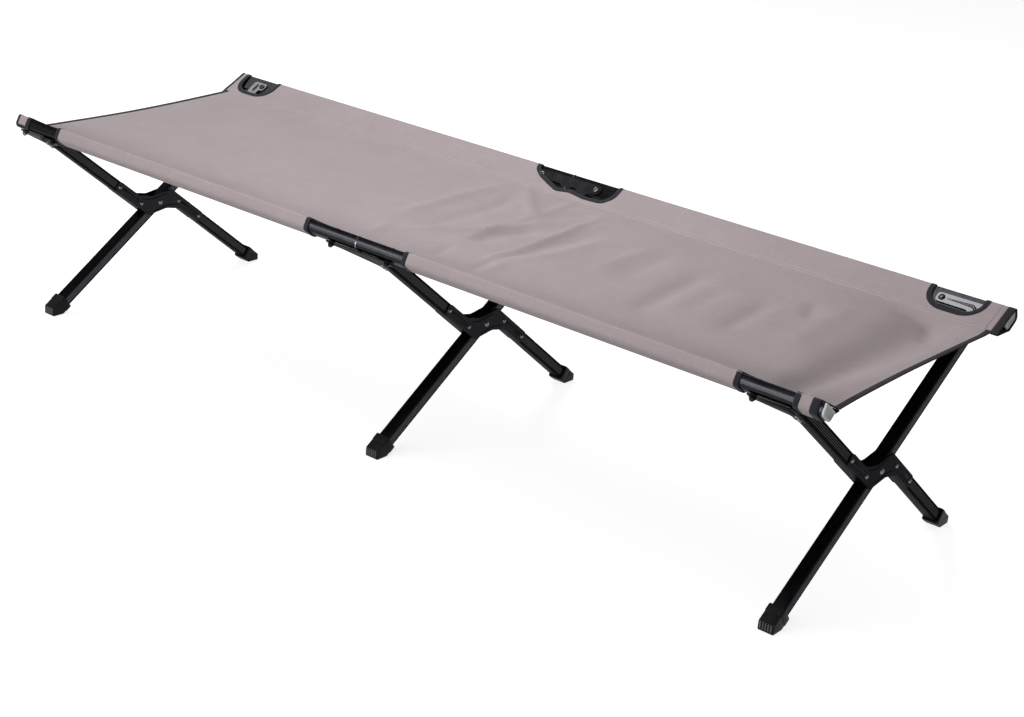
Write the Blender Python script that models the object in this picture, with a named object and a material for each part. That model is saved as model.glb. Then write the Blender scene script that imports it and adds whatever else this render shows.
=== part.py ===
"""Folding camp bed: two hinged rails carried by three crossed leg sets, with a cloth cover.

Metres, +Z up. X runs along the bed, the front rail is at -Y. The origin is on the floor
under the middle. The rear frame turns about the three pivots of the crosses.
"""
import math

import bmesh
import bpy
from mathutils import Matrix, Vector
from mathutils.geometry import tessellate_polygon

# Overall layout
bedLength = 1.900         # over the end caps
railSpread = 0.600        # between the rail centre lines
railHeight = 0.400        # rail centre line above the floor
pivotHeight = 0.195       # axis of the crosses above the floor
legPlaces = {"left": 0.065 - bedLength / 2, "middle": 0.040, "right": bedLength / 2 - 0.060}

# Rail section, a D with its flat on the inner upper side
railFlat = 0.038
railOuterFlat = 0.030
railDepth = 0.020
railWall = 0.0018
railGrooves = 6
grooveDepth = 0.0005
railJointGap = 0.0006
capLip = 0.004
capPlug = 0.008

# Leg tubes
legWidth = 0.024          # along X
legDepth = 0.023          # across the leg, in the plane of the cross
legWall = 0.0016
legGrooves = 5
legTopGap = 0.001         # rail edge to leg end
bracketOffset = 0.027     # pivot to the line of each short leg

# Plates and fasteners
plateThick = 0.0018
seat = 0.0002             # gap between pieces that lie on each other
boltRadius = 0.003
boltHeadRadius = 0.0058
boltHeadHeight = 0.0024
nutRadius = 0.0048
nutHeight = 0.0026
holeClearance = 0.0003
bossRadius = 0.0056
rivetRadius = 0.0042
rivetHeight = 0.0018
pivotRadius = 0.0035
pivotHeadRadius = 0.0056
boltDrop = 0.003          # bolt line below the middle of the rail flat
# Leg line to the rail bolt of each gusset, and to the outer one of the front left lower gusset
armReach = {"front": {"left": 0.042, "right": -0.068},
            "rear": {"left": 0.015, "right": -0.068}}
stayReach = -0.045
strapBolt = 0.067         # bed middle to each strap bolt
gussetDepth = 0.050       # how far the plates reach down the leg
gussetRivets = (0.029, 0.043)

# Z brackets, measured from the pivot along the short legs
innerRivet = 0.045
outerRivet = 0.120
armOverhang = 0.009
shortLegStart = 0.034
beadWidth = 0.007
beadHeight = 0.0008

# Feet
footWidth = 0.030
footWall = 0.003
footCollarHeight = 0.0245  # leg line at the collar's mouth above the floor
footToe = 0.0367           # collar mouth to the toe, outwards
footInsert = 0.018
footFit = 0.0003

# Cover
coverThick = 0.0012
coverFit = 0.0008         # sleeve to rail
coverEnds = (0.005 - bedLength / 2, bedLength / 2 - 0.015)
hemInset = 0.008          # how far the end hems curve in
seamInset = 0.060         # rail's upper edge to the sleeve seam, level
coverLean = 0.118         # the sleeve's upper layer is flatter than the rear legs, radians
coverSag = 0.006          # below the seams, mid bed
seamGap = 0.0010
foldHeight = 0.003
endFoldInset = 0.19       # bed end to the fold at the right end
cutRound = 0.014          # how much narrower a cut-out is at the seam than at the rail
# Start and end of each cut-out, from the line of its leg. Under the rail some are longer.
cutReach = {"front": {"left": (-0.041, 0.062), "middle": (-0.157, 0.070),
                      "right": (-0.090, 0.007)},
            "rear": {"left": (-0.041, 0.048), "middle": (-0.122, 0.070),
                     "right": (-0.090, 0.007)}}
underReach = {"front": {**cutReach["front"], "left": (-0.100, 0.062), "right": (-0.090, 0.025)},
              "rear": {**cutReach["rear"], "right": (-0.090, 0.025)}}

arcSteps = 5
legArcSteps = 3
plateArcSteps = 3
circleSteps = 16
rivetSteps = 12


def sideGeometry(offset):
    """Slope and pivot-to-rail length of a leg line that runs offset from the pivot."""
    rise = railHeight - pivotHeight
    reach = math.hypot(railSpread / 2, rise)
    lean = offset - (legDepth - railDepth) / 2
    slope = math.atan2(rise, railSpread / 2) + math.asin(lean / reach)
    return slope, math.sqrt(reach ** 2 - lean ** 2)


class Side:
    """One of the two frames: turns (x, down the leg, across the leg) into its own axes.

    down is measured from the middle of the rail, across from the rail's flat, positive inwards
    and up. The pieces of both frames have their origin on the pivot axis.
    """

    def __init__(self, name, offset, sign):
        self.name = name
        self.sign = sign
        self.slope, self.length = sideGeometry(offset)
        self.flatLift = legDepth / 2 - offset
        self.matrix = (Matrix.Translation((0, 0, pivotHeight))
                       @ Matrix.Rotation(-sign * self.slope, 4, "X"))

    def local(self, x, down, across):
        return Vector((x, self.sign * (down - self.length), across + self.flatLift))

    def world(self, x, down, across):
        return self.matrix @ self.local(x, down, across)


stayBoltX = legPlaces["left"] + stayReach
front = Side("front", bracketOffset, 1)
rear = Side("rear", 0.0, -1)
seamDrop = seamInset * math.tan(rear.slope - coverLean)  # rail's upper edge to the seam, down


def roundedLoop(corners, steps=arcSteps):
    """Closed polygon through (u, v, radius) corners, each rounded with its own radius."""
    loop = []
    count = len(corners)
    for i, (u, v, radius) in enumerate(corners):
        here = Vector((u, v))
        if radius <= 0:
            loop.append((u, v))
            continue
        back = (Vector(corners[i - 1][:2]) - here).normalized()
        ahead = (Vector(corners[(i + 1) % count][:2]) - here).normalized()
        half = back.angle(ahead) / 2
        middle = here + (back + ahead).normalized() * radius / math.sin(half)
        start = here + back * radius / math.tan(half) - middle
        finish = here + ahead * radius / math.tan(half) - middle
        sweep = start.angle_signed(finish)
        for k in range(steps + 1):
            turned = start.copy()
            turned.rotate(Matrix.Rotation(-sweep * k / steps, 2))
            loop.append(tuple(middle + turned))
    return loop


def circleLoop(u, v, radius, steps=circleSteps):
    return [(u + radius * math.cos(2 * math.pi * k / steps),
             v + radius * math.sin(2 * math.pi * k / steps)) for k in range(steps)]


def dome(u, v, radius, height):
    """Rings of a rivet head: a bump for prism."""
    return [(circleLoop(u, v, radius * part, rivetSteps), height * level)
            for part, level in ((1, 0), (0.93, 0.55), (0.6, 1))]


def prism(outer, low, high, holes=(), bumps=(), bosses=(), underBumps=()):
    """Vertices and faces of a plate or tube: outer loop with holes, drawn from low to high.

    bumps are stacks of (loop, height) on the high face, the last loop is filled, underBumps are
    the same on the low face. bosses are (u, v, hole radius, boss radius, height): a collar on
    the high face round a hole.
    """
    points, faces = [], []

    def ring(loop, level):
        start = len(points)
        points.extend((u, v, level) for u, v in loop)
        return list(range(start, len(points)))

    def wall(a, b):
        for k in range(len(a)):
            n = (k + 1) % len(a)
            faces.append((a[k], a[n], b[n], b[k]))

    def fill(rings):
        order = [i for r in rings for i in r]
        for tri in tessellate_polygon([[Vector(points[i]) for i in r] for r in rings]):
            faces.append(tuple(order[k] for k in tri))

    lowRings, highRings = [ring(outer, low)], [ring(outer, high)]
    wall(lowRings[0], highRings[0])
    for loop in holes:
        lowRings.append(ring(loop, low))
        highRings.append(ring(loop, high))
        wall(lowRings[-1], highRings[-1])
    for u, v, holeRadius, rimRadius, height in bosses:
        lowRings.append(ring(circleLoop(u, v, holeRadius), low))
        highRings.append(ring(circleLoop(u, v, rimRadius), high))
        rim = ring(circleLoop(u, v, rimRadius), high + height)
        mouth = ring(circleLoop(u, v, holeRadius), high + height)
        wall(highRings[-1], rim)
        wall(rim, mouth)
        wall(mouth, lowRings[-1])
    for stacks, rings, level, way in ((bumps, highRings, high, 1),
                                      (underBumps, lowRings, low, -1)):
        for stack in stacks:
            last = ring(stack[0][0], level)
            rings.append(last)
            for loop, height in stack[1:]:
                upper = ring(loop, level + way * height)
                wall(last, upper)
                last = upper
            fill([last])
    fill(lowRings)
    fill(highRings)
    return points, faces


def lathe(profile, steps=circleSteps):
    """Closed solid turned about the third axis from (radius, height) points, ends on the axis."""
    points, faces, rings = [], [], []
    for radius, height in profile:
        start = len(points)
        if radius == 0:
            points.append((0, 0, height))
            rings.append([start])
        else:
            points.extend((u, v, height) for u, v in circleLoop(0, 0, radius, steps))
            rings.append(list(range(start, start + steps)))
    for a, b in zip(rings, rings[1:]):
        for k in range(steps):
            n = (k + 1) % steps
            if len(a) == 1:
                faces.append((a[0], b[n], b[k]))
            elif len(b) == 1:
                faces.append((a[k], a[n], b[0]))
            else:
                faces.append((a[k], a[n], b[n], b[k]))
    return points, faces


def meshFrom(name, solid, place):
    """Mesh of (points, faces) with every point sent through place, faces turned outwards."""
    points, faces = solid
    mesh = bpy.data.meshes.new(name)
    mesh.from_pydata([place(*p) for p in points], [], faces)
    shaped = bmesh.new()
    shaped.from_mesh(mesh)
    bmesh.ops.recalc_face_normals(shaped, faces=shaped.faces)
    shaped.to_mesh(mesh)
    shaped.free()
    mesh.shade_smooth()
    mesh.set_sharp_from_angle(angle=math.radians(32))
    return mesh


def material(name, colour, roughness, metallic):
    made = bpy.data.materials.new(name)
    made.use_nodes = True
    shader = made.node_tree.nodes["Principled BSDF"]
    shader.inputs["Base Color"].default_value = (*colour, 1)
    shader.inputs["Roughness"].default_value = roughness
    shader.inputs["Metallic"].default_value = metallic
    made.diffuse_color = (*colour, 1)
    return made


def addPiece(name, mesh, matrix, look, parent=None):
    """One named piece with its own copy of its look."""
    piece = bpy.data.objects.new(name, mesh)
    bpy.context.scene.collection.objects.link(piece)
    piece.matrix_world = matrix
    colour, roughness, metallic = looks[look]
    mesh.materials.append(material(name, colour, roughness, metallic))
    if parent:
        bpy.context.view_layer.update()
        piece.parent = parent
        piece.matrix_parent_inverse = parent.matrix_world.inverted()
    return piece


def cutWith(piece, cutter):
    """Boolean difference with a wire cutter that isn't rendered."""
    cutter.hide_render = True
    cutter.display_type = "WIRE"
    change = piece.modifiers.new("cut " + cutter.name, "BOOLEAN")
    change.operation = "DIFFERENCE"
    change.solver = "EXACT"
    change.object = cutter


def addCutter(name, solid, place, matrix):
    cutter = bpy.data.objects.new(name, meshFrom(name, solid, place))
    bpy.context.scene.collection.objects.link(cutter)
    cutter.matrix_world = matrix
    return cutter


# Colour, roughness and metallic of each kind of piece
looks = {"black metal": ((0.022, 0.022, 0.025), 0.38, 0.85),
         "dark plate": ((0.045, 0.045, 0.052), 0.42, 0.7),
         "steel": ((0.62, 0.62, 0.63), 0.25, 1.0),
         "foot rubber": ((0.035, 0.035, 0.038), 0.65, 0.0),
         "grey cap": ((0.40, 0.42, 0.42), 0.5, 0.0),
         "taupe cloth": ((0.43, 0.38, 0.38), 0.85, 0.0)}


# Rails

def railLoop(inset=0.0):
    """Rail section as (down, across), flat at across = 0. inset shrinks it evenly."""
    top, bottom = railFlat / 2, railOuterFlat / 2
    lean = math.atan2(top - bottom, railDepth)
    side = inset / math.cos(lean) + inset * math.tan(lean)
    wide = top - side
    narrow = bottom - inset / math.cos(lean) + inset * math.tan(lean)
    small, large = max(0.0015 - inset, 0.0006), 0.007 - inset * 0.9
    corners = [(-wide, -inset, small), (-narrow, inset - railDepth, large),
               (narrow, inset - railDepth, large), (wide, -inset, small)]
    return roundedLoop(corners)


def railOuterLoop():
    """The section with its lengthwise grooves in the flat."""
    loop = railLoop()
    pitch = 0.8 * railFlat / railGrooves
    for k in range(railGrooves):
        middle = (railGrooves / 2 - 0.5 - k) * pitch
        quarter = pitch * 0.22
        loop.extend([(middle + quarter, 0), (middle + quarter * 0.7, -grooveDepth),
                     (middle - quarter * 0.7, -grooveDepth), (middle - quarter, 0)])
    return loop


def railBolts(side):
    """Bolt places along one rail. The outer stay bolt goes through the lower wall only."""
    reach = armReach[side.name]
    places = [-strapBolt, strapBolt] + [legPlaces[end] + reach[end] for end in reach]
    return places + ([stayBoltX] if side is front else [])


def addRail(side, end, sign, parent=None):
    """Half rail from the middle joint to an end cap. Its bolt holes are drilled."""
    near, far = railJointGap / 2, bedLength / 2 - capLip - seat
    solid = prism(railOuterLoop(), near, far, holes=[railLoop(railWall)])
    name = "rail_%s_%s" % (side.name, end)
    mesh = meshFrom(name, solid, lambda d, n, x: side.local(sign * x, d, n))
    rail = addPiece(name, mesh, side.matrix, "black metal", parent)
    for x in railBolts(side):
        if x * sign < 0:
            continue
        low = -railDepth - 0.004
        high = -railDepth / 2 if x == stayBoltX else 0.004
        hole = lathe([(0, low), (boltRadius + holeClearance, low),
                      (boltRadius + holeClearance, high), (0, high)])
        cutWith(rail, addCutter("drill_%s_%d" % (name, round(abs(x) * 1000)), hole,
                                lambda u, v, w: side.local(x + u, boltDrop + v, w),
                                side.matrix))
    return rail


def addCap(side, end, sign, parent):
    """End cap: a lip over the rail end and a plug inside it."""
    lip, plug = railLoop(), railLoop(railWall + holeClearance)
    solid = prism(lip, 0, capLip, bumps=[[(plug, 0.0), (plug, capPlug)]])
    name = "rail_cap_%s_%s" % (side.name, end)
    mesh = meshFrom(name, solid,
                    lambda d, n, w: side.local(sign * (bedLength / 2 - w), d, n))
    addPiece(name, mesh, side.matrix, "grey cap", parent)


# Legs

def legLoop(inset=0.0):
    """Leg section as (x, across the leg). The outer one has grooves down both X faces."""
    u, v = legWidth / 2 - inset, legDepth / 2 - inset
    radius = max(0.0022 - inset, 0.0006)
    loop = roundedLoop([(u, -v, radius), (u, v, radius), (-u, v, radius), (-u, -v, radius)],
                       legArcSteps)
    if inset:
        return loop
    pitch = 0.86 * (legDepth - 2 * radius) / legGrooves
    notch = [((k - legGrooves / 2 + 0.5 + part) * pitch, grooveDepth * deep)
             for k in range(legGrooves)
             for part, deep in ((-0.26, 0), (-0.18, 1), (0.18, 1), (0.26, 0))]
    half = 2 * (legArcSteps + 1)
    right = [(u - deep, height) for height, deep in notch]
    left = [(deep - u, height) for height, deep in reversed(notch)]
    return loop[:half // 2] + right + loop[half // 2:half + half // 2] + left \
        + loop[half + half // 2:]


def addTube(name, side, x, start, end, line, look, parent=None):
    """Leg tube from start to end down the leg. line is its middle across the leg."""
    solid = prism(legLoop(), start, end, holes=[legLoop(legWall)])
    mesh = meshFrom(name, solid, lambda u, v, d: side.local(u, d, line + v))
    return addPiece(name, mesh, side.matrix @ Matrix.Translation((x, 0, 0)), look, parent)


def footCorners(side, line):
    """Foot outline as (down, across): collar mouth square to the leg, upright toe, flat sole."""
    slope = side.slope
    half = legDepth / 2 + footWall
    lift = line + side.flatLift

    def onLeg(out, height):
        along = -out * math.cos(slope) + (height - pivotHeight) * math.sin(slope)
        across = out * math.sin(slope) + (height - pivotHeight) * math.cos(slope)
        return side.length - along, across - side.flatLift

    mouth = (footCollarHeight - pivotHeight - lift * math.cos(slope)) / math.sin(slope)
    toe = -mouth * math.cos(slope) + lift * math.sin(slope) + footToe
    upper, lower = lift + half, lift - half
    toeTop = (upper * math.sin(slope) - toe) / math.cos(slope)
    heel = (-pivotHeight - lower * math.cos(slope)) / math.sin(slope)
    corners = [(side.length - mouth, line + half), (side.length - toeTop, line + half),
               onLeg(toe, 0.0), (side.length - heel, line - half),
               (side.length - mouth, line - half)]
    return corners, side.length - mouth


def addFoot(name, side, x, line, parent):
    """Foot shoe with a socket for the tube."""
    corners, mouth = footCorners(side, line)
    radii = (0.0012, 0.003, 0.002, 0.003, 0.0012)
    outline = roundedLoop([(d, n, r) for (d, n), r in zip(corners, radii)], 3)
    half = footWidth / 2
    solid = prism(outline, -half, half)
    place = side.matrix @ Matrix.Translation((x, 0, 0))
    mesh = meshFrom(name, solid, lambda d, n, u: side.local(u, d, n))
    foot = addPiece(name, mesh, place, "foot rubber", parent)
    u, v = legWidth / 2 + footFit, legDepth / 2 + footFit
    pocket = prism([(-u, -v), (u, -v), (u, v), (-u, v)], mouth - 0.02,
                   mouth + footInsert + footFit)
    cutWith(foot, addCutter("socket_" + name, pocket,
                            lambda a, b, d: side.local(a, d, line + b), place))
    return mouth


# Z brackets

def zOutline():
    """Z plate as (along the short legs, across), the second half is the first turned round."""
    half = legDepth / 2
    top, low = bracketOffset + half, bracketOffset - half
    end = outerRivet + armOverhang
    corners = [(0.011, top, 0.003), (end, top, 0.008), (end, low, 0.008), (0.060, low, 0.012),
               (0.024, -0.002, 0.030), (-0.011, -top, 0.003)]
    turned = [(-u, -v, r) for u, v, r in corners[1:-1]]
    return roundedLoop(corners + turned, plateArcSteps)


def addZPlate(name, place, x, faceSign, parent):
    """Z plate outside the tubes at +X or -X, with its rivet heads and pressed beads."""
    bumps = []
    for turn in (1, -1):
        for u in (innerRivet, outerRivet):
            bumps.append(dome(turn * u, turn * bracketOffset, rivetRadius, rivetHeight))
        a, b = innerRivet + 0.011, outerRivet - 0.011
        stack = []
        for inset, height in ((0, 0.0), (0.0012, beadHeight)):
            w = beadWidth / 2 - inset
            r = w * 0.96
            corners = [(a + inset, -w, r), (b - inset, -w, r), (b - inset, w, r),
                       (a + inset, w, r)]
            stack.append(([(turn * u, turn * (bracketOffset + v))
                           for u, v in roundedLoop(corners, plateArcSteps)], height))
        bumps.append(stack)
    hole = circleLoop(0, 0, pivotRadius + holeClearance)
    near = legWidth / 2 + seat
    solid = prism(zOutline(), near, near + plateThick, holes=[hole], bumps=bumps)
    mesh = meshFrom(name, solid, lambda u, v, w: Vector((faceSign * w, u, v)))
    return addPiece(name, mesh, place @ Matrix.Translation((x, 0, 0)), "dark plate", parent)


def addPivot(name, place, x, parent):
    """Rivet through both Z plates and the long leg: the axis of the cross."""
    grip = legWidth / 2 + seat + plateThick + seat
    head = [(pivotHeadRadius, grip), (pivotHeadRadius * 0.93, grip + rivetHeight * 0.6),
            (pivotHeadRadius * 0.55, grip + rivetHeight)]
    profile = [(0, -grip - rivetHeight)] + [(r, -h) for r, h in reversed(head)]
    profile += [(pivotRadius, -grip), (pivotRadius, grip)] + head + [(0, grip + rivetHeight)]
    mesh = meshFrom(name, lathe(profile), lambda u, v, w: Vector((w, u, v)))
    addPiece(name, mesh, place @ Matrix.Translation((x, 0, 0)), "steel", parent)


# Plates at the rails

upperFace = seat
lowerFace = -legDepth - seat


def gussetOutline(legX, boltXs, upper):
    """Plate on one leg top, as (x, down), with an arm to each rail bolt."""
    half = legWidth / 2 + (0.0005 if upper else -0.001)
    top, knee, arm = (-0.007, 0.014, 0.013) if upper else (-0.006, 0.034, 0.012)
    left, right = legX - half, legX + half
    a, b = min(left, min(boltXs) - 0.010), max(right, max(boltXs) + 0.010)
    corners = [(a, top, 0.006), (b, top, 0.006)]
    if b > right:
        corners += [(b, arm, 0.006), (right, knee, 0.005)]
    corners += [(right, gussetDepth, 0.004), (left, gussetDepth, 0.004)]
    if a < left:
        corners += [(left, knee, 0.005), (a, arm, 0.006)]
    return roundedLoop(corners, plateArcSteps)


def strapOutline(legX, upper):
    """Plate across the rail joint that also holds the middle leg, as (x, down)."""
    half = legWidth / 2
    end = strapBolt + 0.011
    if upper:
        corners = [(-end, -0.009, 0.009), (end, -0.009, 0.009), (end, 0.013, 0.006),
                   (legX + half, 0.018, 0.004), (legX + half, gussetDepth, 0.004),
                   (legX - half, gussetDepth, 0.004), (legX - half, 0.013, 0.008),
                   (0.014, 0.013, 0.003), (0.010, 0.0175, 0.002), (-0.010, 0.0175, 0.002),
                   (-0.014, 0.013, 0.003), (-end, 0.013, 0.009)]
    else:
        corners = [(-end, -0.006, 0.007), (end, -0.006, 0.007), (end, 0.012, 0.006),
                   (legX + half, 0.018, 0.004), (legX + half, gussetDepth, 0.004),
                   (legX - half, gussetDepth, 0.004), (legX - half, 0.040, 0.010),
                   (-strapBolt + 0.015, 0.012, 0.020), (-end, 0.012, 0.007)]
    return roundedLoop(corners, plateArcSteps)


def addPlate(name, side, outline, legX, boltXs, upper, parent):
    """Plate over or under the rail and the leg top. Its leg rivets are part of it."""
    rivets = [dome(legX, d, rivetRadius, rivetHeight) for d in gussetRivets]
    if upper:
        holes = [circleLoop(x, boltDrop, boltRadius + holeClearance) for x in boltXs]
        solid = prism(outline, 0, plateThick, holes=holes, bumps=rivets)
        mesh = meshFrom(name, solid, lambda x, d, w: side.local(x, d, upperFace + w))
        return addPiece(name, mesh, side.matrix, "dark plate", parent)
    collar = legDepth + seat - railDepth - seat
    bosses = [(x, boltDrop, boltRadius + holeClearance, bossRadius, collar) for x in boltXs]
    solid = prism(outline, 0, plateThick, bosses=bosses, underBumps=rivets)
    mesh = meshFrom(name, solid, lambda x, d, w: side.local(x, d, lowerFace - plateThick + w))
    return addPiece(name, mesh, side.matrix, "dark plate", parent)


def addBolt(name, side, x, parent):
    """Rail bolt: head on the upper plate, nut under the lower one. The stay bolt has no head
    outside, it ends in the rail."""
    topSeat = upperFace + plateThick + seat
    lowSeat = lowerFace - plateThick - seat
    profile = [(0, lowSeat - nutHeight), (nutRadius * 0.7, lowSeat - nutHeight),
               (nutRadius, lowSeat - nutHeight * 0.6), (nutRadius, lowSeat),
               (boltRadius, lowSeat)]
    if x == stayBoltX:
        profile += [(boltRadius, -railDepth * 0.6), (0, -railDepth * 0.6)]
    else:
        profile += [(boltRadius, topSeat), (boltHeadRadius, topSeat),
                    (boltHeadRadius * 0.94, topSeat + boltHeadHeight * 0.6),
                    (boltHeadRadius * 0.6, topSeat + boltHeadHeight),
                    (0, topSeat + boltHeadHeight)]
    mesh = meshFrom(name, lathe(profile), lambda u, v, w: side.local(x + u, boltDrop + v, w))
    addPiece(name, mesh, side.matrix, "steel", parent)


# Cover

def coverPath(side):
    """Sleeve round one rail, as world (y, z) points on the cloth's inner face: under the rail,
    up its outer side and over its upper edge."""
    grown = railLoop(-coverFit)
    count = arcSteps + 1
    upper, outer, under = (list(reversed(grown[k * count:(k + 1) * count])) for k in range(3))
    kept = under[1::2] + [outer[0], outer[2], outer[5], upper[1], upper[4]]
    places = [side.world(0, d, n) for d, n in kept]
    return [(p.y, p.z) for p in places]


def foldShape(x, y):
    """Low diagonal folds right of the middle, and one deeper fold at the right end."""
    across = y / (railSpread / 2)
    body = max(0.0, 1 - across * across)
    near = math.exp(-((x - 0.20 - 0.25 * across) / 0.22) ** 2)
    far = math.exp(-((x - bedLength / 2 + endFoldInset - 0.08 * across) / 0.10) ** 2)
    slant = x * 0.9 - y * 0.6
    return foldHeight * body * (0.5 * near * math.sin(slant * 34) - far)


def cutSpans(side, under=False):
    """(start, end) of the cut-outs along one rail."""
    reach = (underReach if under else cutReach)[side.name]
    return [(legPlaces[leg] + start, legPlaces[leg] + end) for leg, (start, end) in reach.items()]


def coverRows():
    """Places along the bed where the grid has a line: the cut-outs' ends and even steps."""
    first, last = coverEnds
    fixed = sorted({end for side in (front, rear) for under in (False, True)
                    for span in cutSpans(side, under) for end in span if first < end < last}
                   | {first, last})
    rows = []
    for a, b in zip(fixed, fixed[1:]):
        parts = max(1, round((b - a) / 0.115))
        rows += [a + (b - a) * k / parts for k in range(parts)]
    return rows + fixed[-1:]


def coverSheet():
    """Grid of (x, y, z) on the cover's inner face: rows along X, columns across the bed from
    the seam under the front rail, over the bed, to the one under the rear rail."""
    frontPath, rearPath = coverPath(front), coverPath(rear)
    reach = {front: frontPath[-1], rear: rearPath[-1]}
    seams = {front: (reach[front][0] + seamInset, reach[front][1] - seamDrop),
             rear: (reach[rear][0] - seamInset, reach[rear][1] - seamDrop)}
    cutEnds = {side: {a: 1 for a, b in cutSpans(side)} | {b: -1 for a, b in cutSpans(side)}
               for side in (front, rear)}
    steps = 8
    grid = []
    for x in coverRows():
        nearEnd = abs(2 * (x - coverEnds[0]) / (coverEnds[1] - coverEnds[0]) - 1) ** 6
        narrowed = {side: x + cutRound * ends.get(x, 0) for side, ends in cutEnds.items()}

        def seamLine(side, part):
            """Point on the top layer between a rail's upper edge and its seam."""
            (ya, za), (yb, zb) = reach[side], seams[side]
            along = narrowed[side] if part == 1 else x
            return along, ya + (yb - ya) * part, za + (zb - za) * part

        row = [(narrowed[front], seams[front][0], seams[front][1] - coverThick - seamGap)]
        row += [(x, y, z) for y, z in frontPath]
        row += [seamLine(front, 0.5), seamLine(front, 1)]
        for k in range(1, steps):
            y = seams[front][0] + (seams[rear][0] - seams[front][0]) * k / steps
            t = 2 * k / steps - 1
            bedX = math.copysign(abs(x) - hemInset * (1 - t * t) * nearEnd, x)
            drop = coverSag * (1 - t * t)
            row.append((bedX, y, seams[front][1] - drop + foldShape(bedX, y)))
        row += [seamLine(rear, 1), seamLine(rear, 0.5)]
        row += [(x, y, z) for y, z in reversed(rearPath)]
        row.append((narrowed[rear], seams[rear][0], seams[rear][1] - coverThick - seamGap))
        grid.append(row)
    return grid


def cellKept(x, column, columns):
    """False where a cut-out leaves a grid cell out. Cells 0 to 3 are under the rail, 4 to 9 go
    round its outer side and over it to the seam."""
    for side, place in ((front, column), (rear, columns - 2 - column)):
        if place <= 9 and any(a < x < b for a, b in cutSpans(side, place <= 3)):
            return False
    return True


def addCover(parent):
    """Closed solid of the cloth: the grid, thickened outwards, with rims round every edge."""
    rows, grid = coverRows(), coverSheet()
    columns = len(grid[0])
    shaped = bmesh.new()
    inner, outer = {}, {}
    for i, row in enumerate(grid):
        for j, point in enumerate(row):
            here = Vector(point)
            a, b = Vector(row[max(j - 1, 0)]), Vector(row[min(j + 1, columns - 1)])
            c = Vector(grid[max(i - 1, 0)][j])
            d = Vector(grid[min(i + 1, len(grid) - 1)][j])
            normal = (d - c).cross(b - a).normalized()
            inner[i, j] = here
            outer[i, j] = here + normal * coverThick
    kept = {(i, j) for i in range(len(rows) - 1) for j in range(columns - 1)
            if cellKept((rows[i] + rows[i + 1]) / 2, j, columns)}
    used = {(i + a, j + b) for i, j in kept for a in (0, 1) for b in (0, 1)}
    low = {k: shaped.verts.new(inner[k]) for k in used}
    high = {k: shaped.verts.new(outer[k]) for k in used}
    for i, j in kept:
        square = [(i, j), (i + 1, j), (i + 1, j + 1), (i, j + 1)]
        shaped.faces.new([high[k] for k in square])
        shaped.faces.new([low[k] for k in reversed(square)])
        for a, b, (di, dj) in ((0, 1, (0, -1)), (1, 2, (1, 0)), (2, 3, (0, 1)), (3, 0, (-1, 0))):
            if (i + di, j + dj) not in kept:
                p, q = square[a], square[b]
                shaped.faces.new([low[p], low[q], high[q], high[p]])
    bmesh.ops.recalc_face_normals(shaped, faces=shaped.faces)
    mesh = bpy.data.meshes.new("cover")
    shaped.to_mesh(mesh)
    shaped.free()
    mesh.shade_smooth()
    mesh.set_sharp_from_angle(angle=math.radians(50))
    addPiece("cover", mesh, Matrix.Identity(4), "taupe cloth", parent)


# Assembly

def addSideFrame(side):
    """Rails, caps, plates and bolts of one side. Returns the piece that carries the rest."""
    left = addRail(side, "left", -1)
    addRail(side, "right", 1, left)
    for end, sign in (("left", -1), ("right", 1)):
        addCap(side, end, sign, left)
    strapXs = (-strapBolt, strapBolt)
    for level in ("upper", "lower"):
        upper = level == "upper"
        addPlate("hinge_strap_%s_%s" % (side.name, level), side,
                 strapOutline(legPlaces["middle"], upper), legPlaces["middle"], strapXs, upper,
                 left)
        for end, reach in armReach[side.name].items():
            legX = legPlaces[end]
            boltXs = [legX + reach]
            if end == "left" and not upper and side is front:
                boltXs.insert(0, stayBoltX)
            addPlate("gusset_%s_%s_%s" % (side.name, end, level), side,
                     gussetOutline(legX, boltXs, upper), legX, boltXs, upper, left)
    for x in railBolts(side):
        kind = "stay" if x == stayBoltX else "strap" if abs(x) == strapBolt else "gusset"
        addBolt("%s_bolt_%s_%s" % (kind, side.name, "left" if x < 0 else "right"), side, x, left)
    return left


def addLegSet(place, x, frontRoot, rearRoot):
    """One cross: long straight leg, and a short leg pair joined by the Z plates."""
    line = -legDepth / 2
    start = railFlat / 2 + legTopGap
    mouth = addFoot("foot_front_" + place, rear, x, line, rearRoot)
    long = addTube("long_leg_" + place, rear, x, start, mouth + footInsert, line, "black metal",
                   rearRoot)
    grip = legWidth
    drill = lathe([(0, -grip), (pivotRadius + holeClearance, -grip),
                   (pivotRadius + holeClearance, grip), (0, grip)])
    cutWith(long, addCutter("drill_long_leg_" + place, drill, lambda u, v, w: Vector((w, u, v)),
                            rear.matrix @ Matrix.Translation((x, 0, 0))))
    addTube("upper_leg_" + place, front, x, start, front.length - shortLegStart, line,
            "black metal", frontRoot)
    lowerLine = line + 2 * bracketOffset
    mouth = addFoot("foot_rear_" + place, front, x, lowerLine, frontRoot)
    addTube("lower_leg_" + place, front, x, front.length + shortLegStart, mouth + footInsert,
            lowerLine, "black metal", frontRoot)
    addZPlate("z_plate_%s_outer" % place, front.matrix, x, 1, frontRoot)
    addZPlate("z_plate_%s_inner" % place, front.matrix, x, -1, frontRoot)
    addPivot("pivot_" + place, front.matrix, x, frontRoot)


def main():
    for old in list(bpy.data.objects):
        bpy.data.objects.remove(old, do_unlink=True)
    frontRoot = addSideFrame(front)
    rearRoot = addSideFrame(rear)
    for place, x in legPlaces.items():
        addLegSet(place, x, frontRoot, rearRoot)
    addCover(frontRoot)


main()
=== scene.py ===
import math

import bmesh
import bpy
import numpy as np
from mathutils import Matrix, Vector, noise
from mathutils.geometry import tessellate_polygon


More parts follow.
